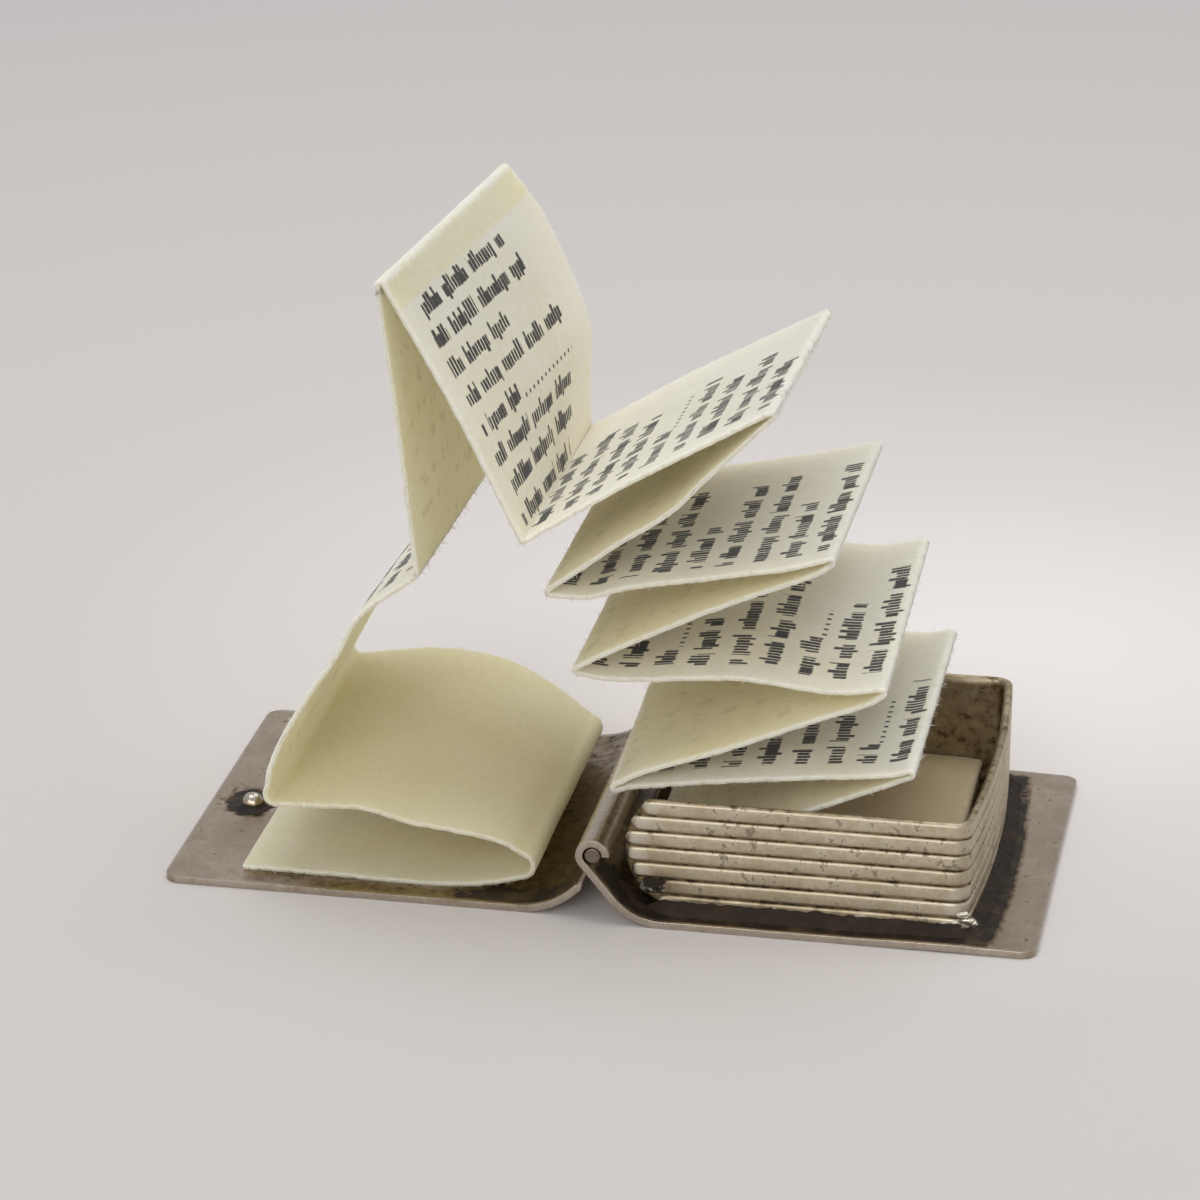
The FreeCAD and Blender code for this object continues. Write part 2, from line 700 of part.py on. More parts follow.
for thing in doc.Objects:
    if "Invalid" in thing.State or "Error" in thing.State:
        raise ValueError(thing.Label + " failed: " + str(thing.State))

os.makedirs("parts", exist_ok=True)
for part in parts:
    shape = part.Shape
    if shape.isNull() or not shape.isValid() or not shape.Solids:
        raise ValueError(part.Label + " is not a sound solid")
    shape.exportStep(os.path.join("parts", part.Label + ".step"))
    box = shape.BoundBox
    print(
        part.Label, "solids", len(shape.Solids), "volume %.3f" % shape.Volume,
        "x %.2f %.2f y %.2f %.2f z %.2f %.2f" % (box.XMin, box.XMax, box.YMin, box.YMax, box.ZMin, box.ZMax),
    )
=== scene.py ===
import math

import bmesh
import bpy
import numpy as np
from mathutils import Matrix, Vector, noise


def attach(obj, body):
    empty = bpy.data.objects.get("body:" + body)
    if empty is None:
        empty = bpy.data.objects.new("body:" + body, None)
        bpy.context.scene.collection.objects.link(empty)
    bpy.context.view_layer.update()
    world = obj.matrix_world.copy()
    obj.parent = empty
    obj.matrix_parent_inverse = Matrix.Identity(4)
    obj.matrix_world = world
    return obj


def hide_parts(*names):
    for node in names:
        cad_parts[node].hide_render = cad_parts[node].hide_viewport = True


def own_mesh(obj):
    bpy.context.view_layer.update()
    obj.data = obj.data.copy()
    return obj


# A miniature silver book, open on a table, with a folded strip of paper between its covers.
# Sizes are in millimetres until a mesh is made, and X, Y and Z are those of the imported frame.

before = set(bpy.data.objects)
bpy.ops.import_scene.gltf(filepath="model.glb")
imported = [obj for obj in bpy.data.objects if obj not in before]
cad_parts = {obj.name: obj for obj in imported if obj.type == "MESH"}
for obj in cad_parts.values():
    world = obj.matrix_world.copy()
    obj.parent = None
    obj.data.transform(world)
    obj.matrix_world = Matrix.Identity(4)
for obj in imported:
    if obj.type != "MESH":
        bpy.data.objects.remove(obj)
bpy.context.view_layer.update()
scene = bpy.context.scene
scene.view_settings.view_transform = "Standard"

MM = 0.001

# The sheet metal
GAUGE = 0.24
COVER_LENGTH = 14.55
COVER_HALF_DEPTH = 7.5
FRONT_SHIFT = 0.4
CORNER_RADIUS = 0.55
HINGE_HEIGHT = 2.38
RAMP_ANGLE = 50.0
BACK_BEND = 2.1
FRONT_BEND = 2.8
CURL_RADIUS = 0.44
CUT_BACK = 0.64
KNUCKLE_HALF = 2.4
KNUCKLE_GAP = 0.1

# The ridged box
BOX_LENGTH = 12.55
BOX_NEAR = -6.5
BOX_FAR = 6.7
BOX_WALL = 0.3
BOX_CORNER = 0.6
FORE_BULGE = 0.35
SPINE_REACH = 0.82
SPINE_ROUND = 2.15
RIDGES = 7
RIDGE_PITCH = 0.55
WALL_TOP = GAUGE + RIDGES * RIDGE_PITCH

# The paper
PAPER = 0.16
PAPER_NEAR = -6.14
PAPER_FAR = 6.34
PANEL = 9.9
SHARP_FOLD = 0.11
LINES_A_PANEL = 9


def rgb(red, green, blue):
    """A colour given as it looks on a screen, 0 to 255, as the renderer wants it."""
    def linear(value):
        value /= 255
        return value / 12.92 if value <= 0.04045 else ((value + 0.055) / 1.055) ** 2.4
    return (linear(red), linear(green), linear(blue), 1.0)


def smooth(low, high, value):
    """0 below low, 1 above high and an even rise between them. Works on arrays."""
    share = np.clip((np.asarray(value, float) - low) / (high - low), 0, 1)
    return share * share * (3 - 2 * share)


def ripple(x, y, z, size, seed=0.0):
    """Soft noise from -1 to 1 whose waves are about size millimetres long."""
    return noise.noise(Vector((x / size + seed, y / size - seed, z / size + 2 * seed)))


# Materials

class Wiring:
    """Short calls that material trees and geometry trees share."""

    def add(self, kind, inputs=None, **settings):
        node = self.tree.nodes.new(kind)
        for name, value in settings.items():
            setattr(node, name, value)
        for name, value in (inputs or {}).items():
            self.feed(node.inputs[name], value)
        return node

    def feed(self, socket, value):
        if isinstance(value, bpy.types.NodeSocket):
            self.tree.links.new(value, socket)
        else:
            socket.default_value = value

    def math(self, operation, first, second=0.0, clamp=False):
        node = self.add("ShaderNodeMath", operation=operation, use_clamp=clamp)
        for socket, value in zip(node.inputs, (first, second)):
            self.feed(socket, value)
        return node.outputs[0]

    def plus(self, first, second, clamp=False):
        return self.math("ADD", first, second, clamp)

    def minus(self, first, second, clamp=False):
        return self.math("SUBTRACT", first, second, clamp)

    def times(self, first, second):
        return self.math("MULTIPLY", first, second)


class Nodes(Wiring):
    """A material's node tree, with short calls for the nodes that the finishes share."""

    def __init__(self, name):
        self.material = bpy.data.materials.new(name)
        self.material.use_nodes = True
        self.tree = self.material.node_tree
        self.shader = self.tree.nodes["Principled BSDF"]
        self.place = self.add("ShaderNodeTexCoord").outputs["Object"]

    @staticmethod
    def blend(first, second, share):
        return tuple(a + (b - a) * share for a, b in zip(first, second))

    def attribute(self, name):
        return self.add("ShaderNodeAttribute", attribute_name=name)

    def stretch(self, scale, source=None):
        node = self.add("ShaderNodeMapping")
        self.feed(node.inputs["Vector"], source or self.place)
        node.inputs["Scale"].default_value = scale
        return node.outputs[0]

    def noise(self, wave, detail=4.0, rough=0.55, source=None, warp=0.0):
        """Cloudy noise with waves of about so many millimetres."""
        node = self.add("ShaderNodeTexNoise")
        self.feed(node.inputs["Vector"], source or self.place)
        node.inputs["Scale"].default_value = 1 / (wave * MM)
        node.inputs["Detail"].default_value = detail
        node.inputs["Roughness"].default_value = rough
        node.inputs["Distortion"].default_value = warp
        return node.outputs[0]

    def swing(self, noise_value, reach):
        """The same noise about zero instead of about a half, times its reach."""
        return self.times(self.minus(noise_value, 0.5), reach)

    def ramp(self, value, *stops):
        """A colour ramp. Each stop is a place and either a grey or a colour."""
        node = self.add("ShaderNodeValToRGB")
        self.feed(node.inputs[0], value)
        elements = node.color_ramp.elements
        while len(elements) < len(stops):
            elements.new(0.5)
        for element, (place, colour) in zip(elements, stops):
            element.position = place
            element.color = colour if isinstance(colour, tuple) else (colour,) * 3 + (1,)
        return node.outputs[0]

    def step(self, value, low, high):
        """0 to 1 as the value goes from low to high, or back if high is the lower."""
        node = self.add("ShaderNodeMapRange", interpolation_type="SMOOTHSTEP")
        for socket, number in zip(node.inputs, (value, low, high, 0.0, 1.0)):
            self.feed(socket, number)
        return node.outputs[0]

    def mix(self, share, first, second, blend="MIX"):
        node = self.add("ShaderNodeMix", data_type="RGBA", blend_type=blend)
        colours = [socket for socket in node.inputs if socket.type == "RGBA"]
        self.feed(node.inputs[0], share)
        self.feed(colours[0], first)
        self.feed(colours[1], second)
        return [socket for socket in node.outputs if socket.type == "RGBA"][0]

    def bump(self, height, depth, strength=1.0, over=None):
        """Relief whose full height is so many millimetres."""
        node = self.add("ShaderNodeBump")
        node.inputs["Strength"].default_value = strength
        node.inputs["Distance"].default_value = depth * MM
        self.feed(node.inputs["Height"], height)
        if over:
            self.feed(node.inputs["Normal"], over)
        return node.outputs[0]


def silver(name, clean, stained, brown, crust, dull=0.42, bright=rgb(222, 216, 204), brushed=(1, 1, 1),
           speck=0.81):
    """Old silver. The mesh says where grime gathers and where shade is painted in, and where handling keeps
    an edge bright and where highlights are painted on.
    """
    n = Nodes(name)
    grime_and_shade = n.attribute("grime_and_shade").outputs["Fac"]
    wear_and_highlight = n.attribute("wear_and_highlight").outputs["Fac"]
    cloud = n.noise(2.6, 6, 0.62, warp=0.4)
    fine = n.noise(0.35, 5, 0.6)
    grain = n.noise(0.09, 3, 0.6)
    drag = n.noise(0.16, 3, 0.65, source=n.stretch(brushed))
    torn = n.plus(grime_and_shade, n.swing(cloud, 0.55))
    torn = n.plus(torn, n.swing(fine, 0.7))
    toned = n.ramp(cloud, (0.36, clean), (0.5, n.blend(clean, stained, 0.35)),
                   (0.68, n.blend(clean, stained, 0.8)))
    toned = n.mix(n.times(n.step(drag, 0.5, 0.75), 0.45), toned, stained)
    toned = n.mix(n.step(torn, 0.14, 0.38), toned, n.blend(stained, brown, 0.3))
    toned = n.mix(n.step(torn, 0.34, 0.52), toned, brown)
    specks = n.step(n.plus(fine, n.times(grain, 0.35)), speck, speck + 0.05)
    toned = n.mix(n.times(n.step(n.plus(fine, n.times(grain, 0.5)), 0.8, 0.7), 0.3),
                  toned, stained)
    toned = n.mix(n.times(specks, 0.75), toned, brown)
    rubbed_and_lit = n.times(wear_and_highlight, n.step(n.plus(fine, n.times(wear_and_highlight, 0.3)), 0.42, 0.66))
    toned = n.mix(rubbed_and_lit, toned, bright)
    caked = n.step(torn, 0.54, 0.62)
    cake = n.mix(n.step(n.noise(0.8, 4, 0.6), 0.45, 0.7), crust, n.blend(crust, brown, 0.4))
    n.feed(n.shader.inputs["Base Color"], n.mix(caked, toned, cake))
    n.feed(n.shader.inputs["Metallic"], n.minus(1.0, caked))
    n.shader.inputs["Specular IOR Level"].default_value = 0.25
    satin = n.plus(dull, n.swing(fine, 0.3))
    satin = n.minus(satin, n.times(rubbed_and_lit, 0.14))
    n.feed(n.shader.inputs["Roughness"], n.plus(satin, n.times(caked, 0.22), clamp=True))
    relief = n.bump(cloud, 0.03, 0.4)
    relief = n.bump(drag, 0.008, 0.5, over=relief)
    relief = n.bump(fine, 0.014, 0.5, over=relief)
    n.feed(n.shader.inputs["Normal"], n.bump(caked, 0.03, 0.7, over=relief))
    return n.material


def paper_stock():
    """Soft cream paper, printed on one face with rows of dark bars that stand for lines of type.

    strip_place holds millimetres across the strip, the number of the line, and the face.
    """
    n = Nodes("page_paper")
    split = n.add("ShaderNodeSeparateXYZ")
    n.feed(split.inputs[0], n.attribute("strip_place").outputs["Vector"])
    across, line_place, face = split.outputs
    rub_and_highlight = n.attribute("rub_and_highlight").outputs["Fac"]

    blot = n.swing(n.noise(0.12, 3, 0.6), 0.3)
    row = n.plus(line_place, n.times(blot, 0.28))
    line = n.math("FLOOR", row)
    level = n.math("FRACT", row)
    reach = n.plus(across, n.times(blot, 0.22))

    def chance(first, second, seed):
        node = n.add("ShaderNodeTexWhiteNoise", noise_dimensions="3D")
        join = n.add("ShaderNodeCombineXYZ")
        for socket, value in zip(join.inputs, (first, second, seed)):
            n.feed(socket, value)
        n.feed(node.inputs["Vector"], join.outputs[0])
        return node.outputs[0]

    of_line = chance(line, 0.0, 3.7)
    pitch = 0.235
    slot = n.plus(n.math("DIVIDE", reach, pitch), n.times(of_line, 7.0))
    stroke = n.math("FLOOR", slot)
    middle = n.math("ABSOLUTE", n.minus(n.math("FRACT", slot), 0.5))
    weight = n.plus(0.29, n.times(chance(stroke, line, 1.1), 0.2))
    bar = n.step(middle, n.plus(weight, 0.07), n.minus(weight, 0.05))
    tall = chance(stroke, line, 5.3)
    top = n.plus(0.65, n.times(n.math("GREATER_THAN", tall, 0.72), 0.2))
    top = n.plus(top, n.times(chance(stroke, line, 2.6), 0.05))
    foot = n.minus(0.2, n.times(n.math("LESS_THAN", tall, 0.1), 0.13))
    foot = n.plus(foot, n.times(chance(stroke, line, 7.4), 0.05))
    body = n.times(n.step(level, foot, n.plus(foot, 0.07)),
                  n.step(level, top, n.minus(top, 0.07)))
    filled = n.math("GREATER_THAN", chance(n.math("FLOOR", n.math("DIVIDE", slot, 2.0)), line, 9.1), 0.8)
    low_half = n.times(n.step(level, 0.22, 0.28), n.step(level, 0.66, 0.58))
    bars = n.math("MAXIMUM", n.times(bar, body), n.times(filled, low_half))

    words = n.add("ShaderNodeTexVoronoi", voronoi_dimensions="1D", feature="DISTANCE_TO_EDGE")
    n.feed(words.inputs["W"], n.plus(n.math("DIVIDE", reach, 2.3), n.times(line, 13.71)))
    words.inputs["Scale"].default_value = 1.0
    words.inputs["Randomness"].default_value = 0.8
    word = n.step(words.outputs["Distance"], 0.075, 0.1)
    last = n.plus(5.0, n.times(n.math("POWER", chance(line, 2.0, 8.2), 0.7), 5.4))
    inside = n.times(n.step(across, 0.95, 1.05), n.step(across, last, n.minus(last, 0.1)))
    leader = n.math("GREATER_THAN", chance(line, 4.0, 6.6), 0.86)
    dot_place = n.minus(n.math("FRACT", n.math("DIVIDE", reach, 0.42)), 0.5)
    dots = n.times(n.step(n.math("ABSOLUTE", dot_place), 0.2, 0.12),
                  n.times(n.step(level, 0.17, 0.21), n.step(level, 0.34, 0.3)))
    type_rows = n.times(n.times(bars, word), inside)
    half_way = n.math("GREATER_THAN", across, n.plus(2.5, n.times(of_line, 3.5)))
    type_rows = n.mix(n.times(leader, half_way), type_rows, n.times(dots, inside))
    patch = n.step(n.noise(0.22, 4, 0.7), 0.3, 0.42)
    specks = n.times(n.step(n.noise(0.16, 2, 0.5), 0.74, 0.79), n.step(n.noise(2.2, 2), 0.5, 0.62))
    ink = n.math("MAXIMUM", n.times(type_rows, n.plus(0.75, n.times(patch, 0.25))),
                 n.times(specks, 0.35))
    bare = n.attribute("bare").outputs["Fac"]
    ink = n.times(n.times(ink, n.step(face, 0.6, 0.95)), n.minus(1.0, bare))

    fibre = n.noise(0.3, 5, 0.7)
    cloud = n.noise(3.5, 3, 0.5)
    tone = n.ramp(n.plus(n.times(fibre, 0.5), n.times(cloud, 0.5)),
                  (0.36, rgb(225, 217, 188)), (0.5, rgb(232, 225, 199)), (0.66, rgb(237, 231, 208)))
    # The blank face and the bare panels are tinted yellower: painted bounce light and shade from the paper
    # round them.
    blank = n.math("MAXIMUM", n.step(face, 0.2, -0.6), n.attribute("bare").outputs["Fac"])
    yellow = n.mix(blank, tone, n.mix(1.0, tone, rgb(253, 248, 226), "MULTIPLY"))
    # The pieces on the box floor are darkened: aged paper, and painted shade under the stack.
    age_and_shade = n.attribute("age_and_shade").outputs["Fac"]
    yellow = n.mix(age_and_shade, yellow, n.mix(1.0, yellow, rgb(226, 211, 204), "MULTIPLY"))
    shown = n.times(n.step(level, 0.15, 0.4), n.step(level, 0.85, 0.6))
    shown = n.times(shown, n.step(n.noise(0.55, 2, 0.5), 0.5, 0.66))
    ghost = n.times(n.times(shown, inside), n.step(face, 0.2, -0.6))
    yellow = n.mix(n.times(ghost, n.minus(0.3, n.times(bare, 0.3))),
                   yellow, rgb(166, 152, 116))
    # Cut edges and sharp fold lines are painted a paler cream: rubbed fibre, and a painted highlight along
    # the folds and edges.
    worn_and_lit = n.mix(n.times(rub_and_highlight, n.step(fibre, 0.3, 0.6)), yellow, rgb(238, 232, 206))
    n.feed(n.shader.inputs["Base Color"], n.mix(n.times(ink, 0.99), worn_and_lit, rgb(46, 45, 46)))
    n.shader.inputs["Roughness"].default_value = 0.85
    n.shader.inputs["Specular IOR Level"].default_value = 0.25
    n.shader.inputs["Sheen Weight"].default_value = 0.15
    n.feed(n.shader.inputs["Subsurface Weight"], n.minus(1.0, ink, clamp=True))
    n.shader.inputs["Subsurface Radius"].default_value = (1.0, 0.98, 0.9)
    n.shader.inputs["Subsurface Scale"].default_value = 0.9 * MM
    relief = n.bump(fibre, 0.02, 0.7)
    n.feed(n.shader.inputs["Normal"], n.bump(n.noise(0.07, 3, 0.6), 0.008, 0.8, over=relief))
    return n.material


BROWN = rgb(104, 84, 54)
CRUST = rgb(34, 26, 19)
SATIN_SILVER = silver("tarnished_silver_sheet", rgb(184, 169, 153), rgb(150, 135, 114), BROWN, CRUST,
                      dull=0.33, bright=rgb(190, 184, 175), brushed=(1, 0.15, 1))
RIDGE_SILVER = silver("rubbed_silver_ridges", rgb(198, 188, 165), rgb(165, 150, 121), rgb(98, 78, 50),
                      CRUST, dull=0.52, bright=rgb(206, 199, 182), brushed=(0.12, 0.12, 1), speck=0.765)
SOLDER_BLACK = silver("old_solder", rgb(184, 176, 160), rgb(104, 88, 66), rgb(70, 53, 37),
                      rgb(43, 34, 26), dull=0.5)
PIN_SILVER = silver("pin_wire", rgb(150, 140, 128), rgb(110, 98, 84), BROWN, CRUST, dull=0.45)
PAGE_PAPER = paper_stock()


# Making meshes

def mesh_object(name, points, faces, material):
    """A plain mesh from points in millimetres."""
    mesh = bpy.data.meshes.new(name)
    mesh.from_pydata([tuple(p * MM for p in point) for point in points], [], faces)
    mesh.validate()
    mesh.materials.append(material)
    obj = bpy.data.objects.new(name, mesh)
    scene.collection.objects.link(obj)
    return obj


def shade(obj, sharp_angle):
    obj.data.shade_smooth()
    obj.data.set_sharp_from_angle(angle=math.radians(sharp_angle))


def settle(obj):
    """Turn the object and its modifiers into one plain mesh."""
    bpy.context.view_layer.update()
    evaluated = obj.evaluated_get(bpy.context.evaluated_depsgraph_get())
    mesh = bpy.data.meshes.new_from_object(evaluated)
    obj.modifiers.clear()
    if obj.type == "MESH":
        obj.data = mesh
        return obj
    name = obj.name
    bpy.data.objects.remove(obj)
    result = bpy.data.objects.new(name, mesh)
    scene.collection.objects.link(result)
    return result


def outward(obj):
    """Merge doubles and turn every face outwards."""
    work = bmesh.new()
    work.from_mesh(obj.data)
    bmesh.ops.remove_doubles(work, verts=work.verts, dist=0.002 * MM)
    bmesh.ops.dissolve_degenerate(work, edges=work.edges, dist=0.0005 * MM)
    bmesh.ops.recalc_face_normals(work, faces=work.faces)
    work.to_mesh(obj.data)
    work.free()


def points_of(obj):
    flat = np.empty(len(obj.data.vertices) * 3)
    obj.data.vertices.foreach_get("co", flat)
    return flat.reshape(-1, 3) / MM


def normals_of(obj):
    flat = np.empty(len(obj.data.vertices) * 3)
    obj.data.vertices.foreach_get("normal", flat)
    return flat.reshape(-1, 3)


def put_points(obj, points):
    obj.data.vertices.foreach_set("co", (points * MM).ravel())
    obj.data.update()


def paint(obj, name, values):
    """Keep one number for each point of the mesh, for its material to read."""
    layer = obj.data.attributes.get(name) or obj.data.attributes.new(name, "FLOAT", "POINT")
    layer.data.foreach_set("value", np.clip(values, 0, 1).astype(np.float32))


def sheet_line(bend):
    """Middle of a cover's sheet from its free end to the end of its curl, on the right of the hinge."""
    slope = math.radians(RAMP_ANGLE)
    middle = GAUGE / 2
    foot = (-CURL_RADIUS * math.sin(slope), HINGE_HEIGHT - CURL_RADIUS * math.cos(slope))
    bend_top = middle + bend * (1 - math.cos(slope))
    ramp = (foot[1] - bend_top) / math.sin(slope)
    bend_start = foot[0] + ramp * math.cos(slope) + bend * math.sin(slope)
    line = []
    corner = CORNER_RADIUS
    for step in range(9):
        line.append((COVER_LENGTH - corner * (1 - math.cos(math.pi / 2 * step / 8)), middle))
    flat = COVER_LENGTH - corner - bend_start
    for step in range(1, 61):
        line.append((COVER_LENGTH - corner - flat * step / 60, middle))
    for step in range(1, 21):
        turn = slope * step / 20
        line.append((bend_start - bend * math.sin(turn), middle + bend * (1 - math.cos(turn))))
    top = line[-1]
    cut_share = (top[0] - CUT_BACK) / (top[0] - foot[0])
    for share in list(np.linspace(0, cut_share, 5)[1:]) + list(np.linspace(cut_share, 1, 5)[1:]):
        line.append((top[0] + (foot[0] - top[0]) * share, top[1] + (foot[1] - top[1]) * share))
    cut_row = len(line) - 5
    for step in range(1, 33):
        turn = math.radians(270 - RAMP_ANGLE) * (1 - step / 32)
        line.append((CURL_RADIUS * math.cos(turn), HINGE_HEIGHT + CURL_RADIUS * math.sin(turn)))
    return line, cut_row


def make_cover(name, side, bend, shift, keeps_knuckle, breaks):
    """A cover bent from sheet, with its knuckles cut out and every edge softened."""
    line, cut_row = sheet_line(bend)
    cuts = sorted([-COVER_HALF_DEPTH + shift] + breaks + [COVER_HALF_DEPTH + shift])
    across = [cuts[0]]
    for start, end in zip(cuts, cuts[1:]):
        count = max(2, round((end - start) / 0.28))
        across += [start + (end - start) * k / count for k in range(1, count + 1)]
    points, index = [], {}
    for row, (x, z) in enumerate(line):
        drop = CORNER_RADIUS - (COVER_LENGTH - x)
        narrow = CORNER_RADIUS - math.sqrt(max(CORNER_RADIUS ** 2 - drop ** 2, 0)) if drop > 0 else 0
        squeeze = 1 - narrow / COVER_HALF_DEPTH
        for column, y in enumerate(across):
            index[row, column] = len(points)
            points.append((side * x, shift + (y - shift) * squeeze, z))
    faces = []
    for row in range(len(line) - 1):
        for column in range(len(across) - 1):
            if row < cut_row or keeps_knuckle((across[column] + across[column + 1]) / 2):
                faces.append((index[row, column], index[row + 1, column],
                              index[row + 1, column + 1], index[row, column + 1]))
    obj = mesh_object(name, points, faces, SATIN_SILVER)
    outward(obj)
    thick = obj.modifiers.new("gauge", "SOLIDIFY")
    thick.thickness = GAUGE * MM
    thick.offset = 0
    soft = obj.modifiers.new("soft edges", "BEVEL")
    soft.width = 0.07 * MM
    soft.segments = 3
    soft.limit_method = "ANGLE"
    soft.angle_limit = math.radians(50)
    settle(obj)
    loose = bmesh.new()
    loose.from_mesh(obj.data)
    bmesh.ops.delete(loose, geom=[v for v in loose.verts if not v.link_faces], context="VERTS")
    loose.to_mesh(obj.data)
    loose.free()

    place = points_of(obj)
    lift = np.array([max(0.0, ripple(x, y, 0, 4.5, 3 + side)) for x, y, z in place]) * 0.07
    nick = np.array([ripple(x, 0, z, 0.7, 8 + side) + 0.6 * ripple(x, 0, z, 0.25, 5) for x, y, z in place])
    edge = COVER_HALF_DEPTH - np.abs(place[:, 1] - shift)
    out = np.sign(place[:, 1] - shift)
    flat = smooth(2.2, 3.6, np.abs(place[:, 0]))
    place[:, 1] -= out * smooth(0.5, 0.0, edge) * (0.02 + 0.018 * nick)
    rise = lift * flat * smooth(0.0, 2.5, COVER_LENGTH - np.abs(place[:, 0]))
    put_points(obj, place + np.outer(rise, (0, 0, 1)))
    shade(obj, 40)
    return obj


def exposed(obj, shift):
    """The points of a cover, and how worn each is: most at its cut edges, and on the top of its curl, where
    the brightening is a painted highlight as well as wear.
    """
    place = points_of(obj)
    edge_y = COVER_HALF_DEPTH - np.abs(place[:, 1] - shift)
    edge_x = COVER_LENGTH - np.abs(place[:, 0])
    wear_and_highlight = 0.6 * np.maximum(smooth(0.12, 0.0, edge_y), smooth(0.14, 0.0, edge_x))
    # The top of the curl is painted brighter: rubbed silver and a painted highlight.
    crown = smooth(HINGE_HEIGHT + 0.1, HINGE_HEIGHT + 0.5, place[:, 2])
    return place, np.maximum(wear_and_highlight, 0.45 * crown)


def upper_side(obj):
    """True where a point lies on the face of the sheet that looks up, along the plate and the bend."""
    return normals_of(obj)[:, 2] > 0.2


back = make_cover(
    "back_cover_sheet", 1, BACK_BEND, 0.0,
    lambda y: abs(y) > KNUCKLE_HALF + KNUCKLE_GAP,
    [-KNUCKLE_HALF - KNUCKLE_GAP, KNUCKLE_HALF + KNUCKLE_GAP],
)
place, wear_and_highlight = exposed(back, 0.0)
up = upper_side(back)
x, y, z = place.T
outside = np.maximum(np.maximum(BOX_NEAR - y, y - BOX_FAR), x - 12.62 - 0.25 * (1 - (y / 6.6) ** 2))
seam = (0.98 - 0.3 * smooth(0, 6, y)) * smooth(0.72 - 0.2 * smooth(-2, 6, y), 0.25, outside)
seam = seam * smooth(-0.3, 0.0, outside) * smooth(14.2, 13.4, x)
seam = np.where((y < BOX_NEAR) & (x < 13.0), 1.1 * smooth(0.95, 0.72, outside), seam) * smooth(1.3, 2.4, x)
hollow = smooth(3.4, 2.2, x) * smooth(HINGE_HEIGHT + 0.1, HINGE_HEIGHT - 0.9, z)
near_dark = 0.35 * smooth(-5.4, -6.4, y)
within = 0.36 * smooth(0.0, -0.2, outside) * smooth(0.5, 1.0, x)
grime_and_shade = np.where(up, np.maximum(np.maximum(seam, (0.4 + near_dark) * hollow), within), 0.12)
grime_and_shade = np.maximum(grime_and_shade, np.where(np.hypot(x, z - HINGE_HEIGHT) < 0.36, 0.9, 0))
paint(back, "grime_and_shade", grime_and_shade * smooth(0.0, 0.07, COVER_HALF_DEPTH - np.abs(y)))
paint(back, "wear_and_highlight", wear_and_highlight)

front = make_cover(
    "front_cover_sheet", -1, FRONT_BEND, FRONT_SHIFT,
    lambda y: abs(y) < KNUCKLE_HALF,
    [-KNUCKLE_HALF, KNUCKLE_HALF],
)
place, wear_and_highlight = exposed(front, FRONT_SHIFT)
up = upper_side(front)
x, y, z = place.T
STUD = (-13.03, -0.85)
# The dark ring round the stud is a smudge of solder with the ball's shadow painted in.
ring_reach = np.array([0.25 * ripple(a, b, 0, 0.6, 4) + 0.12 * ripple(a, b, 0, 0.22, 4)
                       for a, b in zip(x, y)])
ring = smooth(1.35, 0.8, np.hypot((x - STUD[0] + 0.15) * 1.1, y - STUD[1] - 0.45) + 1.6 * ring_reach)
glue = smooth(-12.6, -11.6, x) * smooth(-5.7, -6.2, y) * 0.36
hollow = smooth(-5.0, -3.4, x) * smooth(1.7, 1.0, z)
crease_dirt = 0.34 * smooth(-5.4, -6.4, y) * smooth(-5.6, -4.2, x) * smooth(1.2, 0.7, z)
under_paper = 0.16 * smooth(-12.4, -11.8, x)
grime_and_shade = np.where(up, np.maximum.reduce([ring * 1.05, glue, 0.46 * hollow, under_paper]), 0.12)
from_edge = COVER_HALF_DEPTH - np.abs(y - FRONT_SHIFT)
paint(front, "grime_and_shade", (grime_and_shade + np.where(up, crease_dirt, 0.0)) * smooth(0.0, 0.12, from_edge))
paint(front, "wear_and_highlight", wear_and_highlight)


def wall_path(start, inset, steps=1.0):
    """The wall's line seen from above: near side, fore-edge and far side, set in by so much."""
    half = (BOX_FAR - BOX_NEAR) / 2
    centre_y = (BOX_FAR + BOX_NEAR) / 2
    radius = (half ** 2 + FORE_BULGE ** 2) / (2 * FORE_BULGE)
    centre_x = BOX_LENGTH - radius
    rise = half - BOX_CORNER
    run = math.sqrt((radius - BOX_CORNER) ** 2 - rise ** 2)
    spread = math.atan2(rise, run)
    line = []
    straight = round(60 * steps)
    for k in range(straight):
        line.append((start + (centre_x + run - start) * k / straight, BOX_NEAR + inset))
    tight = BOX_CORNER - inset
    for k in range(13):
        turn = -math.pi / 2 + (math.pi / 2 - spread) * k / 12
        line.append((centre_x + run + tight * math.cos(turn), BOX_NEAR + BOX_CORNER + tight * math.sin(turn)))
    wide = radius - inset
    count = round(50 * steps)
    for k in range(1, count):
        turn = -spread + 2 * spread * k / count
        line.append((centre_x + wide * math.cos(turn), centre_y + wide * math.sin(turn)))
    near_part = list(line)
    for px, py in reversed(near_part[:straight + 13]):
        line.append((px, 2 * centre_y - py))
    return line


def spine_start(z):
    """Where a side wall ends at height z, on its rounded end."""
    rise = min(abs(z - HINGE_HEIGHT), SPINE_ROUND - 0.02)
    return SPINE_REACH + SPINE_ROUND - math.sqrt(SPINE_ROUND ** 2 - rise ** 2)


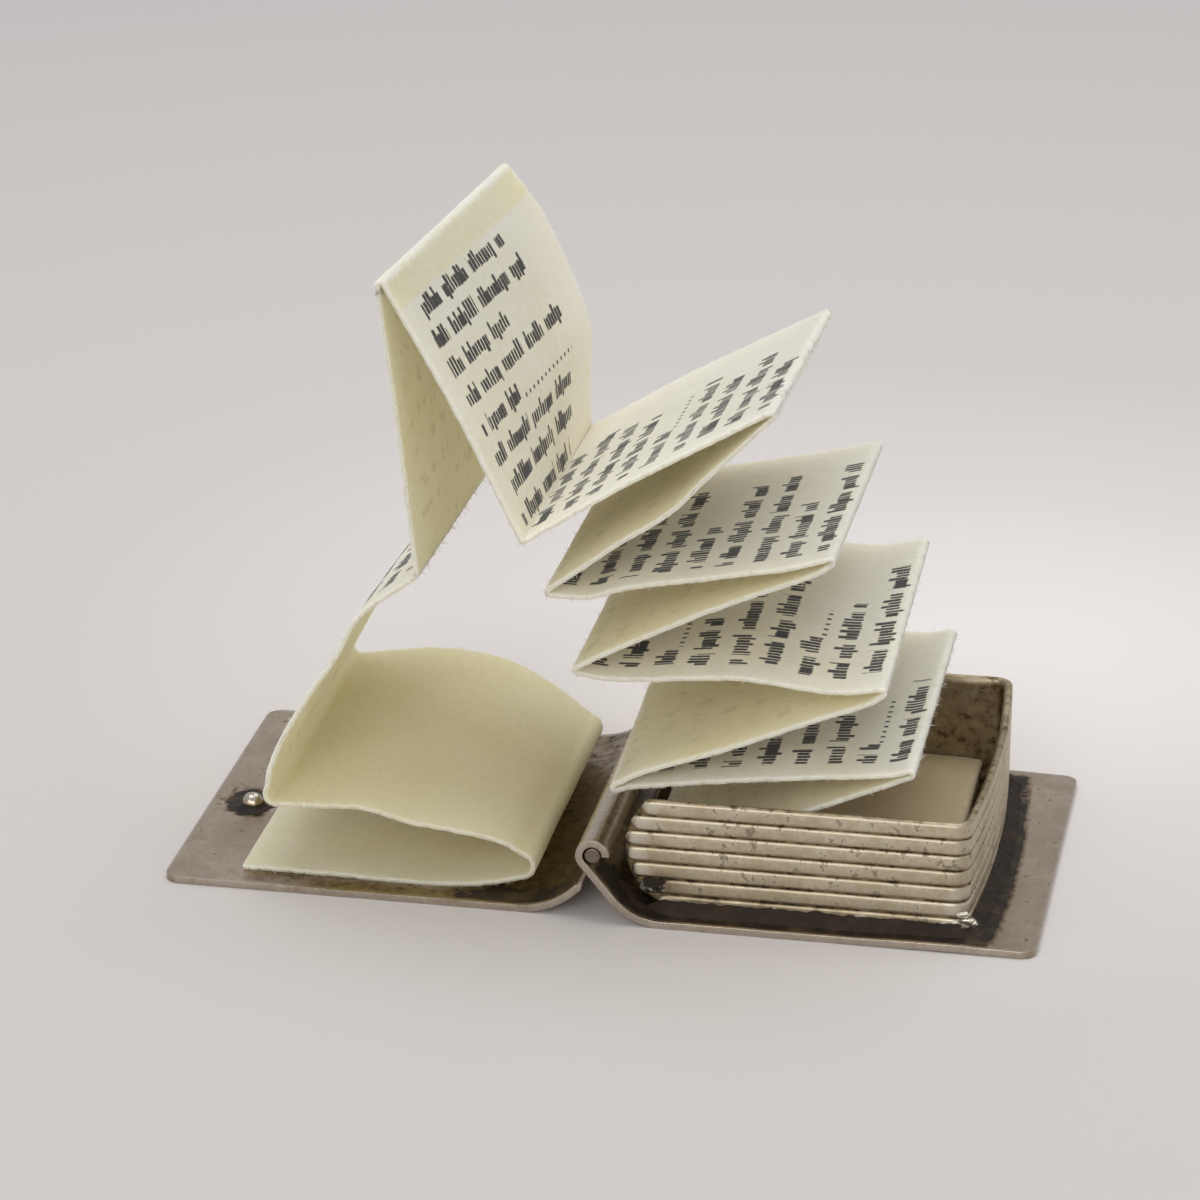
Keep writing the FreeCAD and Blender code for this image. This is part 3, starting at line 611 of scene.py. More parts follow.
def make_wall_core():
    """The plain inner body of the wall, on which the ridges stand."""
    levels = list(np.linspace(GAUGE, WALL_TOP, 29))
    skin = 0.075
    outer, inner = [], []
    for z in levels:
        start = spine_start(z) + 0.1
        outer.append([(px, py, z) for px, py in wall_path(start, skin)])
        inset = BOX_WALL - 0.1 if z == levels[-1] else BOX_WALL
        inner.append([(px, py, z) for px, py in wall_path(start, inset)])
    count = len(outer[0])
    points = [p for row in outer for p in row] + [p for row in inner for p in row]
    base = len(levels) * count
    faces = []
    for a in range(len(levels) - 1):
        for b in range(count - 1):
            first = a * count + b
            faces.append((first, first + 1, first + count + 1, first + count))
            faces.append((base + first, base + first + count, base + first + count + 1, base + first + 1))
        for b in (0, count - 1):
            first = a * count + b
            faces.append((first, first + count, base + first + count, base + first))
    for b in range(count - 1):
        faces.append((b, b + 1, base + b + 1, base + b))
        top = (len(levels) - 1) * count + b
        faces.append((top, top + 1, base + top + 1, base + top))
    obj = mesh_object("page_box_wall", points, faces, RIDGE_SILVER)
    outward(obj)
    soft = obj.modifiers.new("soft edges", "BEVEL")
    soft.width = 0.045 * MM
    soft.segments = 2
    soft.limit_method = "ANGLE"
    soft.angle_limit = math.radians(50)
    settle(obj)
    place = points_of(obj)
    sway = np.array([ripple(x, y, 0, 2.2, 4) * 0.6 + ripple(x, y, 0, 0.6, 7) * 0.4 for x, y, z in place])
    top = smooth(WALL_TOP - 0.5, WALL_TOP, place[:, 2])
    place[:, 2] -= top * (0.02 + 0.02 * sway)
    put_points(obj, place)
    shade(obj, 40)
    return obj


class Tree(Wiring):
    """A geometry node tree with named inputs, and the modifier that runs it."""

    def __init__(self, name, inputs):
        self.tree = bpy.data.node_groups.new(name, "GeometryNodeTree")
        interface = self.tree.interface
        interface.new_socket("Geometry", in_out="INPUT", socket_type="NodeSocketGeometry")
        interface.new_socket("Geometry", in_out="OUTPUT", socket_type="NodeSocketGeometry")
        self.sockets, self.values = {}, {}
        for label, (kind, value) in inputs.items():
            socket = interface.new_socket(label, in_out="INPUT", socket_type="NodeSocket" + kind)
            self.sockets[label] = socket.identifier
            self.values[label] = value
        self.start = self.tree.nodes.new("NodeGroupInput")
        self.end = self.tree.nodes.new("NodeGroupOutput")

    def get(self, name):
        return self.start.outputs[name]

    def finish(self, geometry, material):
        real = self.add("GeometryNodeRealizeInstances", {"Geometry": geometry})
        dressed = self.add("GeometryNodeSetMaterial", {"Geometry": real.outputs[0], "Material": material})
        self.tree.links.new(dressed.outputs[0], self.end.inputs[0])

    def run(self, obj, **changes):
        modifier = obj.modifiers.new(self.tree.name, "NODES")
        modifier.node_group = self.tree
        for label, value in {**self.values, **changes}.items():
            modifier[self.sockets[label]] = value
        return settle(obj)


def path_curve(name, line):
    """A poly curve along a line of points, for a node tree to work on."""
    curve = bpy.data.curves.new(name, "CURVE")
    curve.dimensions = "3D"
    spline = curve.splines.new("POLY")
    spline.points.add(len(line) - 1)
    for point, place in zip(spline.points, line):
        point.co = [value * MM for value in place] + [1]
    obj = bpy.data.objects.new(name, curve)
    scene.collection.objects.link(obj)
    return obj


def ridge_tree():
    """Convex ridges laid one above another along a path, each with its own rounded ends."""
    t = Tree("ridges along the wall", {
        "Ridges": ("Int", RIDGES),
        "Pitch": ("Float", RIDGE_PITCH * MM),
        "Width": ("Float", 0.556 * MM),
        "Depth": ("Float", 0.266 * MM),
        "Rounding": ("Float", 0.131 * MM),
        "Nose": ("Float", 0.3 * MM),
        "Spine round": ("Float", SPINE_ROUND * MM),
        "Hinge height": ("Float", (HINGE_HEIGHT - GAUGE) * MM),
        "Unevenness": ("Float", 0.018 * MM),
        "Seed": ("Float", 4.0),
        "Material": ("Material", RIDGE_SILVER),
    })
    even = t.add("GeometryNodeResampleCurve",
                 {"Curve": t.get("Geometry"), "Length": 0.09 * MM}, mode="LENGTH")
    copies = t.add("GeometryNodeDuplicateElements",
                   {"Geometry": even.outputs[0], "Amount": t.get("Ridges")}, domain="SPLINE")
    number = copies.outputs["Duplicate Index"]
    rise = t.times(t.plus(number, 0.5), t.get("Pitch"))
    shift = t.add("ShaderNodeCombineXYZ", {"Z": rise})
    laid = t.add("GeometryNodeSetPosition", {"Geometry": copies.outputs[0], "Offset": shift.outputs[0]})
    off_centre = t.minus(rise, t.get("Hinge height"))
    chord = t.math("SQRT", t.math("MAXIMUM", 0.0, t.math(
        "SUBTRACT", t.math("POWER", t.get("Spine round"), 2.0), t.math("POWER", off_centre, 2.0))))
    start = t.minus(t.get("Spine round"), chord)
    jitter = t.add("FunctionNodeRandomValue", {"ID": number, "Seed": 3}, data_type="FLOAT")
    start = t.plus(start, t.times(jitter.outputs[1], 0.07 * MM))
    parameter = t.add("GeometryNodeSplineParameter")
    length = t.add("GeometryNodeSplineLength").outputs["Length"]
    from_start = parameter.outputs["Length"]
    from_end = t.minus(length, from_start)
    depth_in = t.minus(t.math("MINIMUM", from_start, from_end), start)
    before = t.add("FunctionNodeCompare", data_type="FLOAT", operation="LESS_THAN")
    t.feed(before.inputs[0], depth_in)
    t.feed(before.inputs[1], 0.0)
    kept = t.add("GeometryNodeDeleteGeometry",
                 {"Geometry": laid.outputs[0], "Selection": before.outputs[0]}, domain="POINT")
    again = t.add("GeometryNodeSplineParameter").outputs["Length"]
    total = t.add("GeometryNodeSplineLength").outputs["Length"]
    near_end = t.math("MINIMUM", again, t.minus(total, again))
    share = t.math("MINIMUM", 1.0, t.math("DIVIDE", near_end, t.get("Nose")))
    back_off = t.minus(1.0, share)
    swell = t.math("SQRT", t.math("MAXIMUM", 0.012, t.minus(1.0, t.times(back_off, back_off))))
    upright = t.add("GeometryNodeSetCurveNormal", {"Curve": kept.outputs[0]}, mode="Z_UP")
    block = t.add("GeometryNodeCurvePrimitiveQuadrilateral",
                  {"Width": t.get("Depth"), "Height": t.get("Width")})
    oval = t.add("GeometryNodeFilletCurve", {
        "Curve": block.outputs[0], "Radius": t.get("Rounding"), "Limit Radius": True, "Count": 6,
    }, mode="POLY")
    tube = t.add("GeometryNodeCurveToMesh", {
        "Curve": upright.outputs[0], "Profile Curve": oval.outputs[0], "Scale": swell, "Fill Caps": True})
    cloud = t.add("ShaderNodeTexNoise", {"Scale": 1100.0, "Detail": 3.0, "W": t.get("Seed")},
                  noise_dimensions="4D")
    push = t.times(t.minus(cloud.outputs[0], 0.5), t.times(t.get("Unevenness"), 2.0))
    along_normal = t.add("ShaderNodeVectorMath", {"Scale": push}, operation="SCALE")
    t.feed(along_normal.inputs[0], t.add("GeometryNodeInputNormal").outputs[0])
    uneven = t.add("GeometryNodeSetPosition",
                   {"Geometry": tube.outputs[0], "Offset": along_normal.outputs[0]})
    soft = t.add("GeometryNodeSetShadeSmooth", {"Geometry": uneven.outputs[0], "Shade Smooth": True})
    t.finish(soft.outputs[0], t.get("Material"))
    return t


wall = make_wall_core()
place = points_of(wall)
x, y, z = place.T
middle_y = (BOX_NEAR + BOX_FAR) / 2
inner_side = (np.abs(y - middle_y) < 6.38) & (x < 12.35 + 0.33 * (1 - ((y - middle_y) / 6.6) ** 2))
# Tarnish on the inner face, with painted shade deepening it into the far corner; it is also darker towards
# the bottom.
corner_shade = smooth(3.0, 0.4, np.hypot(x - 12.2, y - 6.3)) * 0.24
tarnish_and_shade = 0.17 + 0.8 * corner_shade + 0.1 * smooth(2.2, 0.6, z)
paint(wall, "grime_and_shade", np.where(inner_side, tarnish_and_shade, 0.5) * smooth(WALL_TOP - 0.03, WALL_TOP - 0.16, z))
paint(wall, "wear_and_highlight", 0.45 * smooth(WALL_TOP - 0.12, WALL_TOP - 0.05, z))

ridge_line = [(px, py, GAUGE) for px, py in wall_path(SPINE_REACH, 0.133, 2.0)]
ridges = ridge_tree().run(path_curve("page_box_ridges", ridge_line))
place = points_of(ridges)
x, y, z = place.T
row = (z - GAUGE) / RIDGE_PITCH
valley = np.abs(row - np.round(row))
starts = np.array([spine_start(min(max(level, GAUGE), WALL_TOP)) for level in z])
nose = smooth(1.3, 0.3, x - starts)
low_left = smooth(3.6, 1.8, x) * smooth(1.9, 1.2, z)
foot = smooth(0.95, 0.55, z)
# The top ridge's upper face is painted darker: painted shade that tones down the overhead light on the rim.
paint(ridges, "grime_and_shade", np.maximum.reduce([
    0.56 * smooth(0.1, 0.03, valley) * (row < 6.9), 0.3 * smooth(6.8, 6.95, row), 0.6 * low_left,
    0.42 * foot, np.full(len(x), 0.08)]))
# Beside each groove and at the rounded ridge ends the brightening is a painted highlight as well as rubbed
# wear; the corner brightening is rubbed silver.
corner_bright = smooth(1.3, 0.4, np.hypot(x - 12.3, y + 6.3)) * smooth(2.4, 1.2, z)
paint(ridges, "wear_and_highlight", np.maximum.reduce([
    0.3 * smooth(0.08, 0.14, valley) * smooth(0.3, 0.2, valley), corner_bright * smooth(0.06, 0.14, valley),
    nose * smooth(0.1, 0.22, valley)]))
ridges.data.materials.clear()
ridges.data.materials.append(RIDGE_SILVER)


def make_solder():
    """Old solder heaped along the outer foot of the wall, lumpy and nearly black."""
    line = wall_path(SPINE_REACH + 0.75, 0.05, 2.0)
    segments = 12
    points, faces = [], []
    total = len(line)
    for k, (px, py) in enumerate(line):
        before, after = line[max(k - 1, 0)], line[min(k + 1, total - 1)]
        dx, dy = after[0] - before[0], after[1] - before[1]
        size = math.hypot(dx, dy) or 1
        nx, ny = dy / size, -dx / size
        taper = float(smooth(0, 10, k) * smooth(0, 10, total - 1 - k))
        lump = ripple(px, py, 0, 0.9, 2) * 0.6 + ripple(px, py, 0, 0.3, 9) * 0.5
        width = (0.5 + 0.14 * lump) * (0.35 + 0.65 * taper)
        height = 0.4 + 0.12 * ripple(px, py, 5, 0.8, 6) + 0.08 * ripple(px, py, 5, 0.25, 6)
        height *= 0.3 + 0.7 * taper
        width, height = min(width, 0.54), min(height, 0.46)
        for s in range(segments):
            turn = math.pi / 2 * s / (segments - 1)
            hollow = 1 - 0.22 * math.sin(2 * turn)
            bump = 1 + 0.1 * ripple(px, py, s, 0.22, 1)
            reach = width * math.cos(turn) * hollow * bump
            rise = height * math.sin(turn) * hollow * bump
            points.append((px + nx * reach, py + ny * reach, GAUGE - 0.01 + max(rise, 0)))
        points.append((px - nx * 0.1, py - ny * 0.1, GAUGE - 0.01))
    ring = segments + 1
    for k in range(total - 1):
        for s in range(ring):
            a, b = k * ring + s, k * ring + (s + 1) % ring
            faces.append((a, b, b + ring, a + ring))
    faces.append(tuple(range(ring)))
    faces.append(tuple((total - 1) * ring + s for s in reversed(range(ring))))
    obj = mesh_object("solder_seam", points, faces, SOLDER_BLACK)
    outward(obj)
    shade(obj, 60)
    place = points_of(obj)
    corner = smooth(0.8, 0.25, np.hypot(place[:, 0] - 12.55, place[:, 1] + 6.35))
    high = smooth(0.5, 0.66, place[:, 2]) * smooth(-6.2, -6.45, place[:, 1])
    paint(obj, "grime_and_shade", 0.95 - 0.75 * corner * smooth(0.35, 0.55, place[:, 2]) - 0.4 * high)
    paint(obj, "wear_and_highlight", np.maximum(corner, 0.7 * high))
    return obj


def join(keeper, others):
    """Put the other meshes' points and faces into the first, with their painted numbers."""
    with bpy.context.temp_override(active_object=keeper, selected_editable_objects=[keeper] + others):
        bpy.ops.object.join()
    return keeper


def make_solder_lumps():
    """Bright beads where solder ran up the wall's near right corner."""
    beads = []
    for k, (bx, by, bz, size) in enumerate((
        (12.06, -6.46, 0.92, 0.15), (12.2, -6.44, 0.7, 0.15), (11.8, -6.47, 0.62, 0.12),
        (12.36, -6.34, 0.58, 0.13),
    )):
        work = bmesh.new()
        bmesh.ops.create_icosphere(work, subdivisions=3, radius=1.0)
        for v in work.verts:
            x, y, z = v.co
            swell = 1 + 0.45 * ripple(x, y, z, 0.8, 3 + k) + 0.16 * ripple(x, y, z, 0.35, 8 + k)
            v.co = Vector((bx + x * size * 1.5 * swell, by + y * size * 0.45 * swell,
                           bz + z * size * 0.8 * swell)) * MM
        mesh = bpy.data.meshes.new("solder_bead")
        work.to_mesh(mesh)
        work.free()
        mesh.materials.append(SOLDER_BLACK)
        bead = bpy.data.objects.new("solder_bead", mesh)
        scene.collection.objects.link(bead)
        shade(bead, 180)
        height = points_of(bead)[:, 2]
        paint(bead, "grime_and_shade", np.clip(0.55 - 0.5 * (height - bz + size) / size, 0.0, 0.5))
        paint(bead, "wear_and_highlight", np.full(len(height), 0.9))
        beads.append(bead)
    return beads


solder = join(make_solder(), make_solder_lumps())


def make_stud():
    """A beaten ball of silver standing in a spread of dark solder."""
    rise, radius, skirt = 0.55, 0.42, 0.72
    rows = [(skirt, 0.0), (0.6, 0.05), (0.5, 0.1), (radius + 0.02, 0.15)]
    for k in range(1, 13):
        turn = math.pi / 2 * k / 12
        rows.append((radius * math.cos(turn), 0.15 + (rise - 0.15) * math.sin(turn)))
    sides = 40
    points = []
    for radius_here, height in rows[:-1]:
        for s in range(sides):
            turn = 2 * math.pi * s / sides
            cx, cy = math.cos(turn), math.sin(turn)
            dent = 1 - 0.07 * (1 + ripple(cx, cy, height * 3, 0.7, 5))
            dent -= 0.03 * (1 + ripple(cx, cy, height * 6, 0.25, 2))
            points.append((STUD[0] + cx * radius_here * dent, STUD[1] + cy * radius_here * dent,
                           GAUGE - 0.005 + height * (0.93 + 0.07 * ripple(cx * 2, cy * 2, height, 0.8, 3))))
    points.append((STUD[0], STUD[1], GAUGE + rise - 0.04))
    faces = []
    for k in range(len(rows) - 2):
        for s in range(sides):
            a, b = k * sides + s, k * sides + (s + 1) % sides
            faces.append((a, b, b + sides, a + sides))
    last = (len(rows) - 2) * sides
    faces += [(last + s, last + (s + 1) % sides, len(points) - 1) for s in range(sides)]
    faces.append(tuple(reversed(range(sides))))
    obj = mesh_object("catch_stud_ball", points, faces, SATIN_SILVER)
    outward(obj)
    shade(obj, 60)
    place = points_of(obj)
    height = place[:, 2] - GAUGE
    paint(obj, "grime_and_shade", smooth(0.3, 0.12, height) * 0.9)
    # The top of the ball is painted brighter: rubbed silver and a painted highlight.
    paint(obj, "wear_and_highlight", smooth(0.25, 0.45, height))
    return obj


stud = make_stud()

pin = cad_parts["hinge_pin"]
for slot in pin.material_slots:
    slot.link = "OBJECT"
    slot.material = PIN_SILVER


# The folded strip. Each panel is a heading for its near and far edge, and what curl takes off it.

BOX_PANELS = [
    (0.5, 0.5, 0.4), (176.3, 176.3, 0.3), (25.0, 26.0, 0.4), (187.5, 184.5, 0.2), (25.0, 25.0, 0.4),
    (180.0, 185.0, 0.0), (28.0, 27.5, 0.7), (190.5, 190.5, 0.7), (42.5, 41.0, 0.35), (210.5, 209.0, 0.7),
]
COVER_PANELS = [(167.5, 163.5, 1.4), (60.0, 58.0, 0.5)]
CREST_SHORTFALL = (0.47, 0.12)
FLAT = GAUGE + 0.02 + PAPER / 2
BOX_END = (11.2, FLAT)
BOX_FOLD = (1.6, GAUGE + 0.58)
COVER_END = (-12.07, FLAT)
COVER_FOLD = (-2.62, GAUGE + 0.96)

# Curl of each panel from the crease at its start to the crease at its end: how far along,
# and how far to the left of the straight way. Near edge first, then the far edge.
CURLS = {
    4: ([(0.07, 0.09), (0.52, -0.07), (0.92, -0.09)],) * 2,
    5: ([(0.12, 0.09), (0.40, -0.04), (0.76, -0.07), (0.94, -0.10)],) * 2,
    6: ([(0.16, 0.17), (0.44, -0.12), (0.59, -0.08), (0.77, 0.08), (0.91, 0.12)],) * 2,
    7: ([(0.10, 0.06), (0.52, 0.11), (0.94, -0.06)],) * 2,
    8: ([(0.17, 0.13), (0.36, 0.11), (0.75, 0.09), (0.87, 0.22)], [(0.3, 0.12), (0.75, 0.1)]),
    9: ([(0.13, -0.09), (0.28, -0.18), (0.52, -0.39), (0.70, -0.21)], [(0.28, -0.15), (0.55, -0.3)]),
    10: ([(0.52, -0.12), (0.69, -0.10)],) * 2,
    11: ([(0.5, -0.13)], [(0.18, -0.50), (0.36, -1.02), (0.55, -0.97), (0.80, -0.64)]),
    12: ([(0.5, 0.05)],) * 2,
    13: ([(0.25, -0.77), (0.43, -0.64), (0.62, -0.62), (0.78, -0.55), (0.92, -0.31)],
         [(0.3, -0.5), (0.6, -0.45)]),
    14: ([(0.20, 0.32), (0.36, 0.50), (0.55, 0.34), (0.73, 0.37), (0.91, 0.29)],
         [(0.32, 0.96), (0.58, 1.22), (0.79, 0.82)]),
    15: ([(0.08, 0.16), (0.18, 0.3), (0.34, 0.34), (0.6, 0.2), (0.85, 0.06)],) * 2,
}


def turned(degrees):
    turn = math.radians(degrees)
    return np.array((math.cos(turn), math.sin(turn)))


def heading(start, end):
    return math.degrees(math.atan2(end[1] - start[1], end[0] - start[0]))


def crease_places(edge):
    """Centres of the creases along one edge of the strip, as x and z."""
    climb = [np.array(BOX_FOLD)]
    for panel in BOX_PANELS:
        climb.append(climb[-1] + turned(panel[edge]) * (PANEL - panel[2]))
    rise = [np.array(COVER_FOLD)]
    for panel in COVER_PANELS:
        rise.append(rise[-1] + turned(panel[edge]) * (PANEL - panel[2]))
    lower, upper = climb[-1], rise[-1]
    near_length, far_length = (PANEL - cut for cut in CREST_SHORTFALL)
    span = np.linalg.norm(upper - lower)
    first = (near_length ** 2 - far_length ** 2 + span ** 2) / (2 * span)
    lift = math.sqrt(near_length ** 2 - first ** 2)
    way = heading(lower, upper)
    side = turned(way + 90) if turned(way + 90)[1] > 0 else turned(way - 90)
    crest = lower + turned(way) * first + side * lift
    return [np.array(BOX_END)] + climb + [crest] + rise[::-1] + [np.array(COVER_END)]


def curl_offset(marks, share):
    """A smooth curve through the marks, and through nothing at both creases."""
    knots = [(0.0, 0.0)] + list(marks) + [(1.0, 0.0)]
    k = max(i for i in range(len(knots) - 1) if share >= knots[i][0] - 1e-9)

    def slope(i):
        low, high = knots[max(i - 1, 0)], knots[min(i + 1, len(knots) - 1)]
        return (high[1] - low[1]) / (high[0] - low[0])

    (start, a), (end, b) = knots[k], knots[k + 1]
    width = end - start
    t = (share - start) / width
    return ((2 * t ** 3 - 3 * t ** 2 + 1) * a + (t ** 3 - 2 * t ** 2 + t) * width * slope(k)
            + (3 * t ** 2 - 2 * t ** 3) * b + (t ** 3 - t ** 2) * width * slope(k + 1))


PANELS = len(BOX_PANELS) + len(COVER_PANELS) + 4
CREASE_RADII = [0.0] + [SHARP_FOLD] * 13 + [0.35, 0.42, 0.0]


def strip_rows(edge):
    """Middle line of the paper along one edge: x, z, the way's normal, and the place in panels."""
    places = crease_places(edge)
    senses = [1 if k % 2 == 0 else -1 for k in range(len(places))]
    ways = []
    for k in range(PANELS):
        span = np.linalg.norm(places[k + 1] - places[k])
        lean = math.degrees(math.asin((CREASE_RADII[k] + CREASE_RADII[k + 1]) / span))
        ways.append(heading(places[k], places[k + 1]) + senses[k] * lean)
    rows = []
    for k, way in enumerate(ways):
        side = turned(way + 90)
        start = places[k] - side * senses[k] * CREASE_RADII[k]
        end = places[k + 1] + side * senses[k] * CREASE_RADII[k + 1]
        marks = CURLS.get(k, ([], []))[edge]
        count = 30 if k < 3 else 112
        for step in range(count + 1):
            share = step / count
            bow = curl_offset(marks, share) if marks else 0.0
            place = start + (end - start) * share + side * bow
            rows.append([place[0], place[1], k + share * 0.97 + 0.015, k])
        if k + 1 < PANELS:
            sense = senses[k + 1]
            turn = sense * ((sense * (ways[k + 1] - way)) % 360)
            for step in range(1, 9):
                angle = way + turn * step / 9
                place = places[k + 1] - turned(angle + 90) * sense * CREASE_RADII[k + 1]
                rows.append([place[0], place[1], k + 0.985 + 0.03 * step / 9, k + 0.5])
    return np.array(rows)


NEAR_ROWS, FAR_ROWS = strip_rows(0), strip_rows(1)
COLUMNS = [0, 0.06, 0.16, 0.32, 0.6, 1.0, *np.linspace(1.7, 10.8, 12),
           11.48, 11.88, 12.16, 12.32, 12.42, 12.48]


def row_directions(rows):
    """Left-hand normals of a line of rows in the x z plane."""
    ahead = np.gradient(rows[:, :2], axis=0)
    ahead /= np.linalg.norm(ahead, axis=1)[:, None] + 1e-12
    return np.stack([-ahead[:, 1], ahead[:, 0]], axis=1)


def fibre_tree():
    """Short stray fibres along a torn edge, each thin, tapered and turned its own way."""
    t = Tree("fibres along a torn edge", {
        "Spacing": ("Float", 0.07 * MM),
        "Length": ("Float", 0.17 * MM),
        "Thickness": ("Float", 0.013 * MM),
        "Way": ("Float", 1.0),
        "Top": ("Float", 21.3 * MM),
        "Seed": ("Int", 5),
        "Material": ("Material", PAGE_PAPER),
    })
    even = t.add("GeometryNodeResampleCurve",
                 {"Curve": t.get("Geometry"), "Length": t.get("Spacing")}, mode="LENGTH")
    fibre = t.add("GeometryNodeMeshCone", {
        "Vertices": 3, "Radius Bottom": t.get("Thickness"), "Radius Top": t.times(t.get("Thickness"), 0.3),
        "Depth": t.get("Length")})
    lean = t.add("FunctionNodeRandomValue", {"Seed": t.get("Seed")}, data_type="FLOAT_VECTOR")
    lean.inputs["Min"].default_value = (-1.1, 0.3, -1.1)
    lean.inputs["Max"].default_value = (1.1, 1.0, 1.1)
    parts = t.add("ShaderNodeSeparateXYZ", {"Vector": lean.outputs["Value"]})
    way = t.add("ShaderNodeCombineXYZ", {
        "X": parts.outputs[0], "Y": t.times(parts.outputs[1], t.get("Way")), "Z": parts.outputs[2]})
    turned_to = t.add("FunctionNodeAlignRotationToVector", {"Vector": way.outputs[0]}, axis="Z")
    sizes = t.add("FunctionNodeRandomValue", {"Seed": t.plus(t.get("Seed"), 7.0)}, data_type="FLOAT_VECTOR")
    sizes.inputs["Min"].default_value = (0.7, 0.7, 0.25)
    sizes.inputs["Max"].default_value = (1.3, 1.3, 1.5)
    height = t.add("ShaderNodeSeparateXYZ", {"Vector": t.add("GeometryNodeInputPosition").outputs[0]})
    low = t.math("LESS_THAN", height.outputs[2], t.get("Top"))
    strewn = t.add("GeometryNodeInstanceOnPoints", {
        "Points": even.outputs[0], "Selection": low, "Instance": fibre.outputs["Mesh"],
        "Rotation": turned_to.outputs[0], "Scale": sizes.outputs["Value"]})
    t.finish(strewn.outputs[0], t.get("Material"))
    return t


FIBRES = fibre_tree()


def edge_fibres(name, line, way, seed):
    """Fibres along one edge of the strip, given as points in millimetres."""
    obj = FIBRES.run(path_curve(name, line), Way=way, Seed=seed)
    obj.data.materials.clear()
    obj.data.materials.append(PAGE_PAPER)
    count = len(obj.data.vertices)
    obj.data.attributes.new("strip_place", "FLOAT_VECTOR", "POINT")
    paint(obj, "rub_and_highlight", np.full(count, 0.6))
    paint(obj, "age_and_shade", np.zeros(count))
    paint(obj, "bare", np.zeros(count))
    return obj


